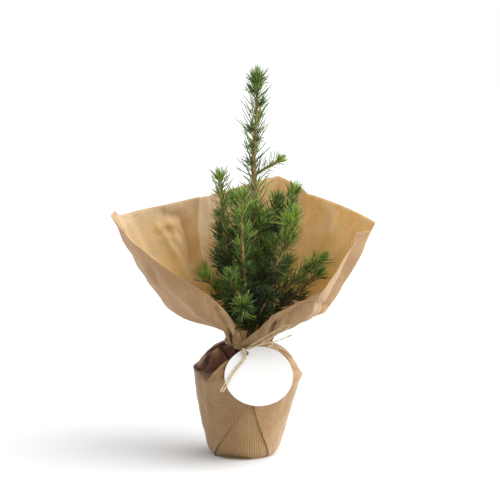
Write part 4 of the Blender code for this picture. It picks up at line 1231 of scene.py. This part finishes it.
# Radius of the compost's top and of its foot, both heights in the pot, and the pot's own height in the wrap
SOIL_RADIUS = 37.0 * MM
SOIL_FOOT_RADIUS = 24 * MM
SOIL_TOP = 54.6 * MM
SOIL_FOOT = 2.4 * MM
POT_FOOT = 2.9 * MM


def make_soil(look):
    """The compost in the pot, with a crumbly top."""
    rows, columns = 26, 64
    turns = [2 * math.pi * column / columns for column in range(columns)]
    lean = Matrix.Translation((0, 0, POT_FOOT)) @ Matrix.Rotation(LEAN, 4, "Y")
    points = []
    for row in range(rows):
        radius = SOIL_RADIUS * (row + 0.02) / (rows - 1)
        for turn in turns:
            place = Vector((radius * math.cos(turn), radius * math.sin(turn), SOIL_TOP))
            place.z += 1.1 * MM * noise.noise(place * 240) + 0.5 * MM * noise.noise(place * 700)
            points.append(lean @ place)
    for turn in turns:
        foot = Vector((SOIL_FOOT_RADIUS * math.cos(turn), SOIL_FOOT_RADIUS * math.sin(turn), SOIL_FOOT))
        points.append(lean @ foot)
    faces = grid_faces(rows + 1, columns, closed=True)
    faces += [tuple(range(rows * columns, (rows + 1) * columns)), tuple(reversed(range(columns)))]
    return make_mesh("compost", points, faces, [look])


# Stage

# Studio light round the plant: direction towards each broad soft light and its strength, over an even light
SOFT_LIGHTS = (
    ((0.97, 0.04, 0.16), 5.2),
    ((0.10, -0.15, 1.00), 0.40),
    ((-0.97, -0.20, 0.22), 1.05),
)
EVEN_LIGHT = 0.28
# The one lamp: direction towards it, its strength and its apparent size in degrees
KEY_PLACE = (0.46, -0.15, 0.87)
KEY_POWER = 1.1
KEY_WIDTH = 42
FLOOR_COLOUR = (0.65, 0.65, 0.65)
FLOOR_REACH = 6.0


def make_floor():
    look = new_material("pale floor", FLOOR_COLOUR, 0.9)[0]
    corners = [(x * FLOOR_REACH, y * FLOOR_REACH, 0) for x, y in ((-1, -1), (1, -1), (1, 1), (-1, 1))]
    floor = make_mesh("floor", corners, [(0, 1, 2, 3)], [look], smooth=False)


def make_lights():
    world = bpy.data.worlds.new("soft studio")
    world.use_nodes = True
    bpy.context.scene.world = world
    tree = world.node_tree
    place = node(tree, "ShaderNodeTexCoord").outputs["Generated"]
    strength = EVEN_LIGHT
    for direction, power in SOFT_LIGHTS:
        lobe = node(tree, "ShaderNodeVectorMath", operation="DOT_PRODUCT")
        feed(lobe.inputs[0], place)
        feed(lobe.inputs[1], Vector(direction).normalized())
        ahead = maths(tree, "MAXIMUM", lobe.outputs["Value"], 0.0)
        strength = maths(tree, "MULTIPLY_ADD", maths(tree, "MULTIPLY", ahead, ahead), power, strength)
    # The backdrop itself shows pure white
    seen = node(tree, "ShaderNodeLightPath").outputs["Is Camera Ray"]
    shown = node(tree, "ShaderNodeMix", Factor=seen, A=strength, B=1.0).outputs["Result"]
    sky = tree.nodes["Background"]
    feed(sky.inputs["Color"], (1.0, 1.0, 1.0))
    feed(sky.inputs["Strength"], shown)
    lamp = bpy.data.lights.new("key", "SUN")
    lamp.energy = KEY_POWER
    lamp.angle = math.radians(KEY_WIDTH)
    item = link(bpy.data.objects.new("key", lamp))
    item.rotation_euler = Vector(KEY_PLACE).to_track_quat("Z", "Y").to_euler()


def make_camera():
    data = bpy.data.cameras.new("camera")
    data.sensor_width = SENSOR
    data.lens = SENSOR * (CAMERA_DISTANCE / PIXEL_SIZE) / PHOTO_WIDTH
    camera = link(bpy.data.objects.new("camera", data))
    camera.location = CAMERA_PLACE
    camera.rotation_euler = (math.pi / 2 - CAMERA_TILT, 0, 0)
    bpy.context.scene.camera = camera


def dress_part(piece, slot, *nodes):
    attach(piece, "root")
    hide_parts(*nodes)


def main():
    chance = random.Random(SEED)
    make_camera()
    make_floor()
    make_lights()
    bpy.context.scene.view_settings.view_transform = "Standard"

    wrapped = paper_material("paper of the wrap", KRAFT, 0.0, (1.0, 0.90, 0.76), 0.34)
    outside = paper_material("paper outside", KRAFT, 0.30, (1.0, 0.82, 0.60), 0.6, 0.6, "neck", NECK_GLOW_AND_SHADE_COLOURS)
    inside = paper_material("paper inside", GOLDEN, 0.50, (1.0, 1.0, 1.0), 0.6, 0.8, "painted_glow_and_shade", COLLAR_GLOW_AND_SHADE_COLOURS)
    dress_part(make_wrap(wrapped, wrapped), "brown_paper", "pot_wrap")
    dress_part(make_front_panel(wrapped, wrapped), "brown_paper", "pot_wrap")
    dress_part(make_underside(wrapped), "brown_paper", "pot_wrap")
    dress_part(make_collar(outside, inside), "brown_paper", "paper_collar")
    dress_part(make_flap(outside, inside), "brown_paper", "paper_collar")
    dress_part(make_tag(card_material()), "white_card", "tag")
    dress_part(make_twine(twine_material()), "straw_twine", "twine")
    dress_part(make_soil(soil_material()), "soil", "soil")
    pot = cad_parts["pot"]
    pot.data.materials.clear()
    pot.data.materials.append(plastic_material())

    dress_part(make_trunk(bark_material("trunk bark", *TRUNK_BARK), chance), "bark", "trunk")
    boughs = make_boughs(bark_material("young bark", *BOUGH_BARK), chance)
    dress_part(boughs, "bark", *["bough_" + row[0] for row in BOUGHS])

    foliage = Foliage(chance)
    for row in BOUGHS:
        foliage.grow(*row)
    foliage.grow_heart()
    foliage.grow_leader()
    masses = sorted(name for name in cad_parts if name.startswith("foliage_"))
    for level, colour in enumerate(TONE_AND_SHADE_COLOURS):
        piece = foliage.needle_piece(level, needle_material(f"needles {TONES[level]}", colour))
        dress_part(piece, "foliage", *masses)
    dress_part(foliage.twigs.make("twigs", bark_material("shoot bark", *SHOOT_BARK)), "bark", *masses)
    dress_part(foliage.buds.make("buds", bark_material("buds", *BUD_SCALES)), "bark", *masses)


main()
